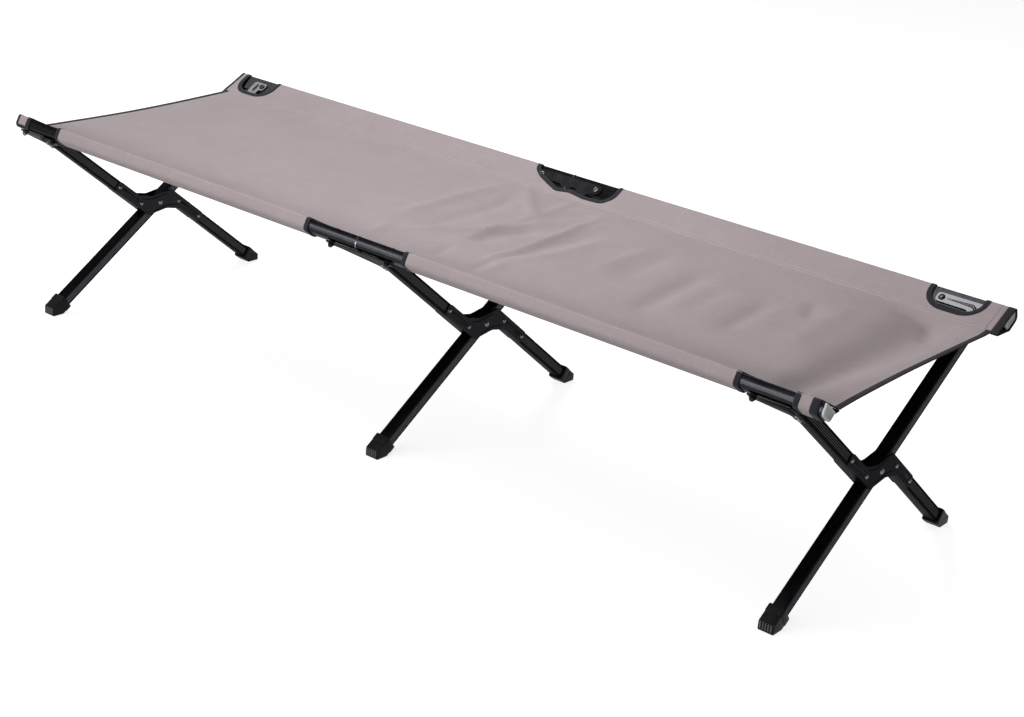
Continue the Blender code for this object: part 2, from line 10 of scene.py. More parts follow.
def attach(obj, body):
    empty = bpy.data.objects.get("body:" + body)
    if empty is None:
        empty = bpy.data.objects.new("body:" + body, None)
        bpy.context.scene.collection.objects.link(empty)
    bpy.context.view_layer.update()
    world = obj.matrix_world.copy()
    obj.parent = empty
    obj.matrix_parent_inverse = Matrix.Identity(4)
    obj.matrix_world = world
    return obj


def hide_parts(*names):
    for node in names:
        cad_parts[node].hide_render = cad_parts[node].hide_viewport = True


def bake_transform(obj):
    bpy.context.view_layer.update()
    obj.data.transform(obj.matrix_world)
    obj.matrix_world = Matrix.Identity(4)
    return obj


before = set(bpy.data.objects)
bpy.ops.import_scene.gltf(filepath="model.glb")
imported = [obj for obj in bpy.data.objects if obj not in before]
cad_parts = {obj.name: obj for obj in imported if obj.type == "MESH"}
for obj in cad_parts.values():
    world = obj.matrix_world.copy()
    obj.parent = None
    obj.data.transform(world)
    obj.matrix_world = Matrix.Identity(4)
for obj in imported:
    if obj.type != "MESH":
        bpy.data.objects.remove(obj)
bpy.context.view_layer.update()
scene = bpy.context.scene
scene.view_settings.view_transform = "Standard"

# Camera: focal length in pixels of a 1024 pixel wide picture, angles in degrees
shot = {
    "width": 1024,
    "sensor": 36.0,
    "focal": 1940.7,
    "place": (2.1884, -2.6746, 1.5053),
    "azimuth": 37.708,
    "elevation": 21.909,
    "roll": 4.853,
}


def addCamera():
    az = math.radians(shot["azimuth"])
    el = math.radians(shot["elevation"])
    roll = math.radians(shot["roll"])
    back = Vector((math.sin(az) * math.cos(el), -math.cos(az) * math.cos(el), math.sin(el)))
    level = Vector((0, 0, 1)).cross(back).normalized()
    upright = back.cross(level)
    right = math.cos(roll) * level + math.sin(roll) * upright
    up = math.cos(roll) * upright - math.sin(roll) * level
    data = bpy.data.cameras.new("camera")
    data.sensor_fit = "HORIZONTAL"
    data.sensor_width = shot["sensor"]
    data.lens = shot["focal"] / shot["width"] * shot["sensor"]
    data.clip_start = 0.05
    data.clip_end = 60
    camera = bpy.data.objects.new("camera", data)
    scene.collection.objects.link(camera)
    turn = Matrix((right, up, back)).transposed().to_4x4()
    camera.matrix_world = Matrix.Translation(shot["place"]) @ turn
    scene.camera = camera


addCamera()
print("camera placed")

# Main sizes of the bed, in metres. X runs along it, the front rail is at -Y.
cot = {
    "length": 1.900,
    "spread": 0.600,
    "railHeight": 0.400,
    "pivotHeight": 0.195,
    "legs": {"left": -0.885, "middle": 0.040, "right": 0.890},
    "legWidth": 0.024,
    "legDepth": 0.023,
    "bracketOffset": 0.027,
}
rail = {
    "flat": 0.038,
    "outerFlat": 0.030,
    "depth": 0.020,
    "smallRadius": 0.0015,
    "largeRadius": 0.007,
    "boltDrop": 0.003,
    "strapBolt": 0.067,
    "stayBolt": -0.930,
}


def makeSide(name, offset, sign):
    # One of the two crossed frames: its slope, and the way from its own axes to the world's
    rise = cot["railHeight"] - cot["pivotHeight"]
    reach = math.hypot(cot["spread"] / 2, rise)
    lean = offset - (cot["legDepth"] - rail["depth"]) / 2
    slope = math.atan2(rise, cot["spread"] / 2) + math.asin(lean / reach)
    turn = Matrix.Translation((0, 0, cot["pivotHeight"])) @ Matrix.Rotation(-sign * slope, 4, "X")
    return {
        "name": name,
        "body": name + "_frame",
        "sign": sign,
        "slope": slope,
        "length": math.sqrt(reach ** 2 - lean ** 2),
        "lift": cot["legDepth"] / 2 - offset,
        "turn": turn,
    }


front = makeSide("front", cot["bracketOffset"], 1)
rear = makeSide("rear", 0.0, -1)
sides = (front, rear)
ends = (("left", -1), ("right", 1))


def onSide(side, x, down, across):
    # down the leg from the middle of the rail, across it from the rail's flat
    local = Vector((x, side["sign"] * (down - side["length"]), across + side["lift"]))
    return side["turn"] @ local


def onCross(side, x, along, across):
    # around the pivot, along the legs of one side
    return side["turn"] @ Vector((x, along, across))


def roundedLoop(corners, steps):
    # Closed polygon through (u, v, radius) corners
    loop = []
    count = len(corners)
    for i, (u, v, radius) in enumerate(corners):
        here = Vector((u, v))
        if radius <= 0:
            loop.append((u, v))
            continue
        back = (Vector(corners[i - 1][:2]) - here).normalized()
        ahead = (Vector(corners[(i + 1) % count][:2]) - here).normalized()
        half = back.angle(ahead) / 2
        middle = here + (back + ahead).normalized() * radius / math.sin(half)
        start = here + back * radius / math.tan(half) - middle
        finish = here + ahead * radius / math.tan(half) - middle
        sweep = start.angle_signed(finish)
        for k in range(steps + 1):
            turned = start.copy()
            turned.rotate(Matrix.Rotation(-sweep * k / steps, 2))
            loop.append(tuple(middle + turned))
    return loop


def boxLoop(u, v, radius, steps):
    # Rounded rectangle, u and v to each side of the middle
    return roundedLoop([(u, -v, radius), (u, v, radius), (-u, v, radius), (-u, -v, radius)], steps)


def circleLoop(radius, steps, turn=0.0):
    return [(radius * math.cos(2 * math.pi * k / steps + turn),
             radius * math.sin(2 * math.pi * k / steps + turn)) for k in range(steps)]


def railLoop(grow, steps):
    # Rail section as (down, across), its flat at across = 0, grown evenly outwards
    top, bottom = rail["flat"] / 2, rail["outerFlat"] / 2
    lean = math.atan2(top - bottom, rail["depth"])
    wide = top + grow / math.cos(lean) + grow * math.tan(lean)
    narrow = bottom + grow / math.cos(lean) - grow * math.tan(lean)
    small = max(rail["smallRadius"] + grow, 0.0005)
    large = rail["largeRadius"] + grow * 0.9
    depth = -rail["depth"] - grow
    corners = [(-wide, grow, small), (-narrow, depth, large), (narrow, depth, large),
               (wide, grow, small)]
    return roundedLoop(corners, steps)


# Mesh helpers

def buildObject(name, points, faces, smoothAngle, uvs=None):
    mesh = bpy.data.meshes.new(name)
    mesh.from_pydata([tuple(p) for p in points], [], faces)
    if uvs is not None:
        layer = mesh.uv_layers.new(name="cloth")
        corners = np.zeros(len(mesh.loops), np.int32)
        mesh.loops.foreach_get("vertex_index", corners)
        layer.data.foreach_set("uv", np.asarray(uvs, np.float32)[corners].ravel())
    shaped = bmesh.new()
    shaped.from_mesh(mesh)
    bmesh.ops.recalc_face_normals(shaped, faces=shaped.faces)
    shaped.to_mesh(mesh)
    shaped.free()
    mesh.shade_smooth()
    mesh.set_sharp_from_angle(angle=math.radians(smoothAngle))
    piece = bpy.data.objects.new(name, mesh)
    scene.collection.objects.link(piece)
    return piece


def wear(piece, looks, body):
    # Materials, and the body that carries the piece, if one does
    for look in looks if isinstance(looks, (list, tuple)) else [looks]:
        piece.data.materials.append(look)
    if body:
        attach(piece, body)


class Shape:
    # Collects rings, walls and fills of one piece
    def __init__(self):
        self.points = []
        self.faces = []

    def ring(self, places):
        start = len(self.points)
        self.points.extend(places)
        return list(range(start, len(self.points)))

    def wall(self, a, b):
        for k in range(len(a)):
            n = (k + 1) % len(a)
            self.faces.append((a[k], a[n], b[n], b[k]))

    def cap(self, ring):
        self.faces.append(tuple(ring))

    def loft(self, sections, closed=False):
        # Walls from each ring of places to the next
        rings = [self.ring(places) for places in sections]
        for a, b in zip(rings, rings[1:] + (rings[:1] if closed else [])):
            self.wall(a, b)
        return rings

    def fill(self, rings):
        order = [i for r in rings for i in r]
        flat = [[Vector(self.points[i]) for i in r] for r in rings]
        for tri in tessellate_polygon(flat):
            self.faces.append(tuple(order[k] for k in tri))

    def turned(self, profile, place, steps=28):
        # Closed solid turned about an axis from (radius, height) points, both ends on the axis
        rings = []
        for radius, height in profile:
            if radius <= 0:
                rings.append(self.ring([place(0, 0, height)]))
            else:
                rings.append(self.ring([place(u, v, height)
                                        for u, v in circleLoop(radius, steps)]))
        for a, b in zip(rings, rings[1:]):
            if len(a) == 1:
                self.faces += [(a[0], b[(k + 1) % steps], b[k]) for k in range(steps)]
            elif len(b) == 1:
                self.faces += [(a[k], a[(k + 1) % steps], b[0]) for k in range(steps)]
            else:
                self.wall(a, b)

    def rib(self, path, width, height, place):
        # A low half-round rib along a path of (u, v): place(u, v, height) puts it on its plate
        count = len(path)
        section = [(-0.5, -0.25), (-0.42, 0.45), (-0.2, 0.86), (0.0, 1.0), (0.2, 0.86),
                   (0.42, 0.45), (0.5, -0.25)]
        sections = []
        for k in range(count):
            before = Vector(path[max(k - 1, 0)])
            after = Vector(path[min(k + 1, count - 1)])
            along = (after - before).normalized()
            out = Vector((-along.y, along.x))
            taper = 0.35 if k in (0, count - 1) else 1.0
            spots = [Vector(path[k]) + out * (a * width * taper) for a, b in section]
            sections.append([place(s.x, s.y, height * taper * b)
                             for s, (a, b) in zip(spots, section)])
        rings = self.loft(sections)
        self.cap(rings[0])
        self.cap(rings[-1][::-1])

    def settle(self, name, smoothAngle, looks, body):
        piece = buildObject(name, self.points, self.faces, smoothAngle)
        wear(piece, looks, body)
        return piece


# Shader helpers

def startGroup(name, inputs, outputs):
    group = bpy.data.node_groups.new(name, "ShaderNodeTree")
    for label, kind, value in inputs:
        socket = group.interface.new_socket(name=label, in_out="INPUT", socket_type=kind)
        if value is not None:
            socket.default_value = value
    for label, kind in outputs:
        group.interface.new_socket(name=label, in_out="OUTPUT", socket_type=kind)
    return group, group.nodes.new("NodeGroupInput"), group.nodes.new("NodeGroupOutput")


def feed(tree, socket, value):
    if hasattr(value, "is_output"):
        tree.links.new(value, socket)
    else:
        socket.default_value = value


def calc(tree, operation, a, b=None, c=None, clamp=False):
    node = tree.nodes.new("ShaderNodeMath")
    node.operation = operation
    node.use_clamp = clamp
    for socket, value in zip(node.inputs, (a, b, c)):
        if value is not None:
            feed(tree, socket, value)
    return node.outputs[0]


def times(tree, a, b):
    return calc(tree, "MULTIPLY", a, b)


def plus(tree, a, b, clamp=False):
    return calc(tree, "ADD", a, b, clamp=clamp)


def split(tree, vector):
    node = tree.nodes.new("ShaderNodeSeparateXYZ")
    tree.links.new(vector, node.inputs[0])
    return node.outputs


def joined(tree, parts):
    node = tree.nodes.new("ShaderNodeCombineXYZ")
    for socket, part in zip(node.inputs, parts):
        tree.links.new(part, socket)
    return node.outputs[0]


def scaled(tree, place, factors):
    node = tree.nodes.new("ShaderNodeVectorMath")
    node.operation = "MULTIPLY"
    feed(tree, node.inputs[0], place)
    node.inputs[1].default_value = factors
    return node.outputs[0]


def noiseValue(tree, place, size, detail, rough=0.5):
    node = tree.nodes.new("ShaderNodeTexNoise")
    feed(tree, node.inputs["Vector"], place)
    feed(tree, node.inputs["Scale"], size)
    node.inputs["Detail"].default_value = detail
    node.inputs["Roughness"].default_value = rough
    return node.outputs["Fac"]


def spread(tree, value, low, high, toLow=0.0, toHigh=1.0):
    node = tree.nodes.new("ShaderNodeMapRange")
    feed(tree, node.inputs["Value"], value)
    node.inputs["From Min"].default_value = low
    node.inputs["From Max"].default_value = high
    node.inputs["To Min"].default_value = toLow
    node.inputs["To Max"].default_value = toHigh
    return node.outputs["Result"]


# Sizes of the patterns, each per metre, and the ranges of noise that show
weaveLook = {
    "crown": 0.6,             # how round the yarns' tops are
    "slubs": ((30, 900, 1), (900, 30, 1)),
    "mottling": 9.0,
    "lint": 1400.0,
    "lintRange": (0.68, 0.8),
    "lintColour": (0.62, 0.58, 0.58),
}
metalLook = {
    "broad": 38.0,
    "patches": 24.0,
    "patchRange": (0.55, 0.72),
    "hairs": (90, 700, 500),
    "hairRange": (0.64, 0.72),
    "scuffColour": (0.20, 0.20, 0.21),
    "specks": 420.0,
    "speckRange": (0.45, 0.8),
    "upward": (0.3, 1.0),     # the normal's Z where dust lies
    "dustColour": (0.25, 0.24, 0.23),
}


def canvasGroup():
    # Plain weave: Place is in metres on the cloth
    group, given, out = startGroup(
        "canvas weave",
        [("Place", "NodeSocketVector", None), ("Yarns per Metre", "NodeSocketFloat", 1500.0),
         ("Slub", "NodeSocketFloat", 1.0)],
        [("Height", "NodeSocketFloat"), ("Shade", "NodeSocketFloat"), ("Lint", "NodeSocketFloat")])
    place = given.outputs["Place"]
    x, y = split(group, place)[:2]
    turns = times(group, given.outputs["Yarns per Metre"], math.pi)
    warp = calc(group, "SINE", times(group, x, turns))
    weft = calc(group, "SINE", times(group, y, turns))
    bump = calc(group, "POWER", calc(group, "ABSOLUTE", times(group, warp, weft)),
                weaveLook["crown"])
    slubs = [noiseValue(group, scaled(group, place, size), 1.0, 2.0)
             for size in weaveLook["slubs"]]
    slub = times(group, calc(group, "SUBTRACT", plus(group, *slubs), 1.0), given.outputs["Slub"])
    feed(group, out.inputs["Height"], plus(group, bump, slub))
    mottled = noiseValue(group, place, weaveLook["mottling"], 3.0)
    shade = plus(group, times(group, mottled, 0.6), calc(group, "MULTIPLY_ADD", slub, 0.9, 0.2))
    feed(group, out.inputs["Shade"], shade)
    lint = spread(group, noiseValue(group, place, weaveLook["lint"], 1.0),
                  *weaveLook["lintRange"])
    feed(group, out.inputs["Lint"], lint)
    return group


def grainGroup():
    # Fine lines along the first axis of Place, as on drawn and anodised tube, or plain grain
    group, given, out = startGroup(
        "drawn grain",
        [("Place", "NodeSocketVector", None), ("Fineness", "NodeSocketFloat", 1800.0),
         ("Stretch", "NodeSocketFloat", 0.02)],
        [("Height", "NodeSocketFloat"), ("Shade", "NodeSocketFloat")])
    x, y, z = split(group, given.outputs["Place"])
    drawn = joined(group, (times(group, x, given.outputs["Stretch"]), y, z))
    lines = noiseValue(group, drawn, given.outputs["Fineness"], 2.0, 0.6)
    broad = noiseValue(group, given.outputs["Place"], metalLook["broad"], 2.0)
    feed(group, out.inputs["Height"], lines)
    feed(group, out.inputs["Shade"], plus(group, times(group, lines, 0.5),
                                          times(group, broad, 0.5)))
    return group


def scuffGroup():
    # Sparse short scratches and rubbed spots, and dust on what faces up
    group, given, out = startGroup(
        "scuffs and dust",
        [("Place", "NodeSocketVector", None), ("Scuffs", "NodeSocketFloat", 0.5),
         ("Dust", "NodeSocketFloat", 0.5)],
        [("Scuff", "NodeSocketFloat"), ("Dust", "NodeSocketFloat")])
    place = given.outputs["Place"]
    patch = spread(group, noiseValue(group, place, metalLook["patches"], 2.0),
                   *metalLook["patchRange"])
    hair = spread(group, noiseValue(group, scaled(group, place, metalLook["hairs"]), 1.0, 2.0),
                  *metalLook["hairRange"])
    scuff = times(group, times(group, patch, hair), given.outputs["Scuffs"])
    feed(group, out.inputs["Scuff"], scuff)
    shape = group.nodes.new("ShaderNodeNewGeometry")
    upward = spread(group, split(group, shape.outputs["Normal"])[2], *metalLook["upward"])
    speck = spread(group, noiseValue(group, place, metalLook["specks"], 3.0),
                   *metalLook["speckRange"])
    dust = times(group, times(group, upward, speck), given.outputs["Dust"])
    feed(group, out.inputs["Dust"], dust)
    return group


canvasWeave = canvasGroup()
drawnGrain = grainGroup()
scuffsAndDust = scuffGroup()


def startMaterial(name, colour, roughness, metallic):
    look = bpy.data.materials.new(name)
    look.use_nodes = True
    tree = look.node_tree
    shader = tree.nodes["Principled BSDF"]
    shader.inputs["Base Color"].default_value = (*colour, 1)
    shader.inputs["Roughness"].default_value = roughness
    shader.inputs["Metallic"].default_value = metallic
    look.diffuse_color = (*colour, 1)
    return look, tree, shader


def groupNode(tree, group, **values):
    node = tree.nodes.new("ShaderNodeGroup")
    node.node_tree = group
    for label, value in values.items():
        feed(tree, node.inputs[label.replace("_", " ")], value)
    return node


def colourMix(tree, amount, a, b):
    node = tree.nodes.new("ShaderNodeMix")
    node.data_type = "RGBA"
    feed(tree, node.inputs["Factor"], amount)
    for label, value in (("A", a), ("B", b)):
        socket = [s for s in node.inputs if s.name == label and s.type == "RGBA"][0]
        feed(tree, socket, value if hasattr(value, "is_output") else (*value, 1))
    return [s for s in node.outputs if s.type == "RGBA"][0]


def bumped(tree, shader, height, strength, distance):
    bump = tree.nodes.new("ShaderNodeBump")
    bump.inputs["Strength"].default_value = strength
    bump.inputs["Distance"].default_value = distance
    tree.links.new(height, bump.inputs["Height"])
    tree.links.new(bump.outputs["Normal"], shader.inputs["Normal"])


def objectPlace(tree, slope):
    # Object coordinates, with the second axis turned down the legs' slope
    place = tree.nodes.new("ShaderNodeTexCoord")
    turn = tree.nodes.new("ShaderNodeMapping")
    turn.inputs["Rotation"].default_value = (slope, 0, 0)
    tree.links.new(place.outputs["Object"], turn.inputs["Vector"])
    return turn.outputs["Vector"]


def clothMaterial(name, colour, dark, light, yarns, sheen, strength):
    look, tree, shader = startMaterial(name, colour, 0.88, 0.0)
    uv = tree.nodes.new("ShaderNodeUVMap")
    uv.uv_map = "cloth"
    weave = groupNode(tree, canvasWeave, Place=uv.outputs[0], Yarns_per_Metre=yarns, Slub=1.0)
    shade = spread(tree, weave.outputs["Shade"], 0.15, 0.85)
    body = colourMix(tree, shade, dark, light)
    body = colourMix(tree, times(tree, weave.outputs["Lint"], 0.10), body,
                     weaveLook["lintColour"])
    tree.links.new(body, shader.inputs["Base Color"])
    tree.links.new(spread(tree, weave.outputs["Height"], -0.3, 1.2, 0.95, 0.8),
                   shader.inputs["Roughness"])
    shader.inputs["Sheen Weight"].default_value = sheen
    shader.inputs["Sheen Roughness"].default_value = 0.5
    shader.inputs["Specular IOR Level"].default_value = 0.25
    bumped(tree, shader, weave.outputs["Height"], strength, 0.0003)
    return look


def metalMaterial(name, colour, light, roughness, metallic=1.0, stretch=1.0, slope=0.0,
                  fineness=1200.0, scuffs=0.2, dust=0.03, strength=0.25, gloss=0.5, edge=1.0,
                  bend=1.5):
    # edge tints what a black metal mirrors at a flat angle, bend is the index of refraction
    look, tree, shader = startMaterial(name, colour, roughness, metallic)
    shader.inputs["Specular IOR Level"].default_value = gloss
    shader.inputs["Specular Tint"].default_value = (edge, edge, edge, 1)
    shader.inputs["IOR"].default_value = bend
    place = objectPlace(tree, slope)
    if slope:
        # lines run down the leg, along the second axis
        x, y, z = split(tree, place)
        place = joined(tree, (y, x, z))
    grain = groupNode(tree, drawnGrain, Place=place, Fineness=fineness, Stretch=stretch)
    marks = groupNode(tree, scuffsAndDust, Place=place, Scuffs=scuffs, Dust=dust)
    body = colourMix(tree, spread(tree, grain.outputs["Shade"], 0.3, 0.7), colour, light)
    body = colourMix(tree, times(tree, marks.outputs["Scuff"], 0.5), body,
                     metalLook["scuffColour"])
    body = colourMix(tree, times(tree, marks.outputs["Dust"], 0.12), body,
                     metalLook["dustColour"])
    tree.links.new(body, shader.inputs["Base Color"])
    rough = spread(tree, grain.outputs["Shade"], 0.3, 0.7, roughness - 0.05, roughness + 0.07)
    rough = plus(tree, rough, times(tree, marks.outputs["Dust"], 0.2), clamp=True)
    tree.links.new(rough, shader.inputs["Roughness"])
    bumped(tree, shader, grain.outputs["Height"], strength, 0.0001)
    return look


# Finishes. Cloth: middle, dark and light colour, yarns per metre, sheen, strength of the weave.
# Metal: dark and light colour, roughness, and what differs from the plain case.
canvas = clothMaterial("taupe canvas", (0.302, 0.253, 0.261), (0.274, 0.226, 0.234),
                       (0.330, 0.280, 0.288), 1350.0, 0.08, 0.32)
tape = clothMaterial("black edge tape", (0.012, 0.012, 0.016), (0.008, 0.008, 0.011),
                     (0.020, 0.020, 0.026), 900.0, 0.05, 0.6)
thread = clothMaterial("taupe thread", (0.58, 0.52, 0.52), (0.54, 0.48, 0.48),
                       (0.62, 0.56, 0.56), 2600.0, 0.1, 0.3)
darkThread = clothMaterial("dark thread", (0.040, 0.040, 0.048), (0.030, 0.030, 0.038),
                           (0.055, 0.055, 0.065), 2600.0, 0.1, 0.3)


def tubeMetal(name, side, colour, light, roughness, edge):
    return metalMaterial("%s %s" % (name, side["name"]), colour, light, roughness, stretch=0.02,
                         slope=side["sign"] * side["slope"], fineness=1800.0, scuffs=0.15,
                         edge=edge)


def plateMetal(name, colour, light, roughness, edge):
    return metalMaterial(name, colour, light, roughness, fineness=900.0, dust=0.06,
                         strength=0.35, edge=edge)


tubeBlack = {
    "front": tubeMetal("black tube", front, (0.007, 0.007, 0.008), (0.011, 0.011, 0.013), 0.42,
                       0.45),
    "rear": tubeMetal("black tube", rear, (0.009, 0.009, 0.011), (0.014, 0.014, 0.017), 0.32,
                      0.50),
}
# Lighter copies for the lands between the grooves: painted highlight along the ribs, lighter still
# on the rear frame's legs
paintedRibHighlight = {
    "front": tubeMetal("painted rib highlight", front, (0.050, 0.050, 0.055), (0.065, 0.065, 0.070), 0.25,
                       0.50),
    "rear": tubeMetal("painted rib highlight", rear, (0.090, 0.090, 0.098), (0.120, 0.120, 0.130), 0.25,
                      0.55),
}
railBlack = metalMaterial("black rail", (0.018, 0.018, 0.021), (0.026, 0.026, 0.030), 0.24,
                          stretch=0.02, fineness=1800.0, scuffs=0.15, edge=0.5)
plateGrey = plateMetal("dark plate", (0.031, 0.031, 0.034), (0.043, 0.043, 0.047), 0.25, 0.5)
# A lighter copy of the dark plate for the rear upper gussets and their beads: painted highlight
# where they catch the lamps
paintedLitPlate = plateMetal("plate with painted highlight", (0.040, 0.040, 0.042), (0.056, 0.056, 0.059), 0.15,
                        0.6)
plateBlack = plateMetal("black plate", (0.014, 0.014, 0.016), (0.022, 0.022, 0.025), 0.36, 0.45)
rivetSteel = metalMaterial("rivet steel", (0.13, 0.13, 0.14), (0.19, 0.19, 0.20), 0.13, dust=0.05,
                           edge=0.6)
screwSteel = metalMaterial("screw steel", (0.22, 0.22, 0.23), (0.30, 0.30, 0.31), 0.20,
                           scuffs=0.3, dust=0.05)
bareSteel = metalMaterial("steel", (0.24, 0.24, 0.25), (0.32, 0.32, 0.33), 0.30, stretch=0.6,
                          dust=0.1)
boltBlack = metalMaterial("blackened bolt", (0.030, 0.030, 0.034), (0.045, 0.045, 0.050), 0.13,
                          edge=0.6)
# A lighter copy of the blackened bolt for the rear strap bolts: painted highlight on their domes
paintedLitBolt = metalMaterial("bolt with painted highlight", (0.130, 0.130, 0.136), (0.170, 0.170, 0.176), 0.16,
                         edge=0.6)
footPlastic = metalMaterial("foot plastic", (0.006, 0.006, 0.007), (0.011, 0.011, 0.013), 0.42,
                            metallic=0.0, fineness=1500.0, scuffs=0.15, dust=0.1, strength=0.6,
                            gloss=0.30, bend=1.25)
# Treads lighter than the shoe: painted highlight on the tread tops, with scuffs and dust on top
treadPaintedHighlight = metalMaterial("tread with painted highlight", (0.035, 0.035, 0.037), (0.070, 0.070, 0.073), 0.30,
                             metallic=0.0, fineness=1500.0, scuffs=0.6, dust=0.3, strength=0.5)
capPlastic = metalMaterial("grey cap plastic", (0.46, 0.48, 0.47), (0.54, 0.56, 0.55), 0.36,
                           metallic=0.0, fineness=1500.0, scuffs=0.1, dust=0.1, strength=0.4)
print("finishes ready")

# Cloth cover: a sheet in pattern coordinates, x along the bed and u across it, from the hidden
# edge under the front seam, round the front rail, over the bed and round the rear rail
cover = {
    "thick": 0.0011,
    "fit": 0.0008,            # rail to cloth
    "ends": (-0.945, 0.939),
    "seamInset": 0.060,
    "seamDrop": 0.031,
    "sag": 0.006,
    "hemLift": 0.7,           # share of the sag that the taut hems take back
    "seamGap": 0.0024,        # upper layer to lower layer at the seam
    "hemInset": 0.008,
    "hemPower": 6,
    "lapInset": 0.016,        # hidden edge to the openings' lower edge
    "foldFade": (-0.02, 0.10),
    "plain": (-0.800, -0.150),    # along the bed, where the cloth is smooth
    "plainStep": 0.0095,
    "foldStep": 0.0052,
    "endStep": 0.003,
    "acrossStep": 0.0075,
    "seamRows": [0.0008, 0.002, 0.0045, 0.009],
    "outlineStep": 0.0035,
    "cutReach": 0.02,
    "snap": 0.0012,           # how far points move to lie on an opening's edge
    "leastFace": 4e-8,
}


def sleevePath(side):
    # Cloth section round one rail as (y, z), from the edge under the seam to the seam on top
    grow = cover["fit"] + cover["thick"] / 2
    around = [onSide(side, 0, d, n) for d, n in railLoop(grow, 7)]
    edge = onSide(side, 0, *railLoop(grow, 7)[4])
    inward = side["sign"]
    seamY = edge.y + inward * cover["seamInset"]
    seamZ = edge.z - cover["seamDrop"]
    under = (seamY, seamZ - cover["seamGap"])
    spots = [(p.y, p.z) for p in around] + [(seamY, seamZ), under]
    spots = sorted(set((inward * y, z) for y, z in spots))

    def half(points):
        kept = []
        for p in points:
            while len(kept) > 1:
                (ax, ay), (bx, by) = kept[-2], kept[-1]
                if (bx - ax) * (p[1] - ay) - (by - ay) * (p[0] - ax) > 0:
                    break
                kept.pop()
            kept.append(p)
        return kept

    ring = half(spots)[:-1] + half(spots[::-1])[:-1]
    start = ring.index((inward * under[0], under[1]))
    ring = ring[start:] + ring[:start]
    if ring[1] == (inward * seamY, seamZ):
        ring = [ring[0]] + ring[:0:-1]
    return [(inward * y, z) for y, z in ring]


def densified(path, step):
    dense = [path[0]]
    for a, b in zip(path, path[1:]):
        parts = max(1, round(math.dist(a, b) / step))
        dense += [(a[0] + (b[0] - a[0]) * k / parts, a[1] + (b[1] - a[1]) * k / parts)
                  for k in range(1, parts + 1)]
    return dense


def clothSection():
    frontPath = densified(sleevePath(front), cover["foldStep"])
    rearPath = densified(sleevePath(rear), cover["foldStep"])
    seamFront, seamRear = frontPath[-1], rearPath[-1]
    width = seamRear[0] - seamFront[0]
    *close, start = cover["seamRows"]
    offsets = close + list(np.linspace(start, width - start,
                                       round((width - 2 * start) / cover["acrossStep"]) + 1))
    offsets += [width - c for c in reversed(close)]
    bed = []
    for offset in offsets:
        t = 2 * offset / width - 1
        level = seamFront[1] + (seamRear[1] - seamFront[1]) * offset / width
        bed.append((seamFront[0] + offset, level - cover["sag"] * (1 - t * t)))
    section = frontPath + bed + rearPath[::-1]
    return section, len(frontPath) - 1, len(frontPath) + len(bed)


section, seamFrontRow, seamRearRow = clothSection()
rowPlaces = np.array(section)
rowU = np.concatenate([[0], np.cumsum(np.hypot(*np.diff(rowPlaces, axis=0).T))])
clothWidth = float(rowU[-1])
seamU = (float(rowU[seamFrontRow]), float(rowU[seamRearRow]))


def addClothPlaces(side, seam, hidden):
    # Where on the cloth, across it, a sleeve's seam, hidden edge and the rail's upper edge lie
    half = rowPlaces[:, 0] * side["sign"] < 0
    edge = float(rowU[int(np.argmax(np.where(half, rowPlaces[:, 1], -1)))])
    side.update(seam=seam, hidden=hidden, edge=edge,
                lap=abs(edge - hidden) - cover["lapInset"])


addClothPlaces(front, seamU[0], 0.0)
addClothPlaces(rear, seamU[1], clothWidth)


def columnPlaces():
    first, last = cover["ends"]
    rim, fine = cover["endStep"], cover["foldStep"]
    marks = [first, first + rim, *cover["plain"], last - rim, last]
    places = [first]
    for a, b, step in zip(marks, marks[1:], (rim, fine, cover["plainStep"], fine, rim)):
        parts = max(1, round((b - a) / step))
        places += [a + (b - a) * k / parts for k in range(1, parts + 1)]
    return np.array(places)


columns = columnPlaces()

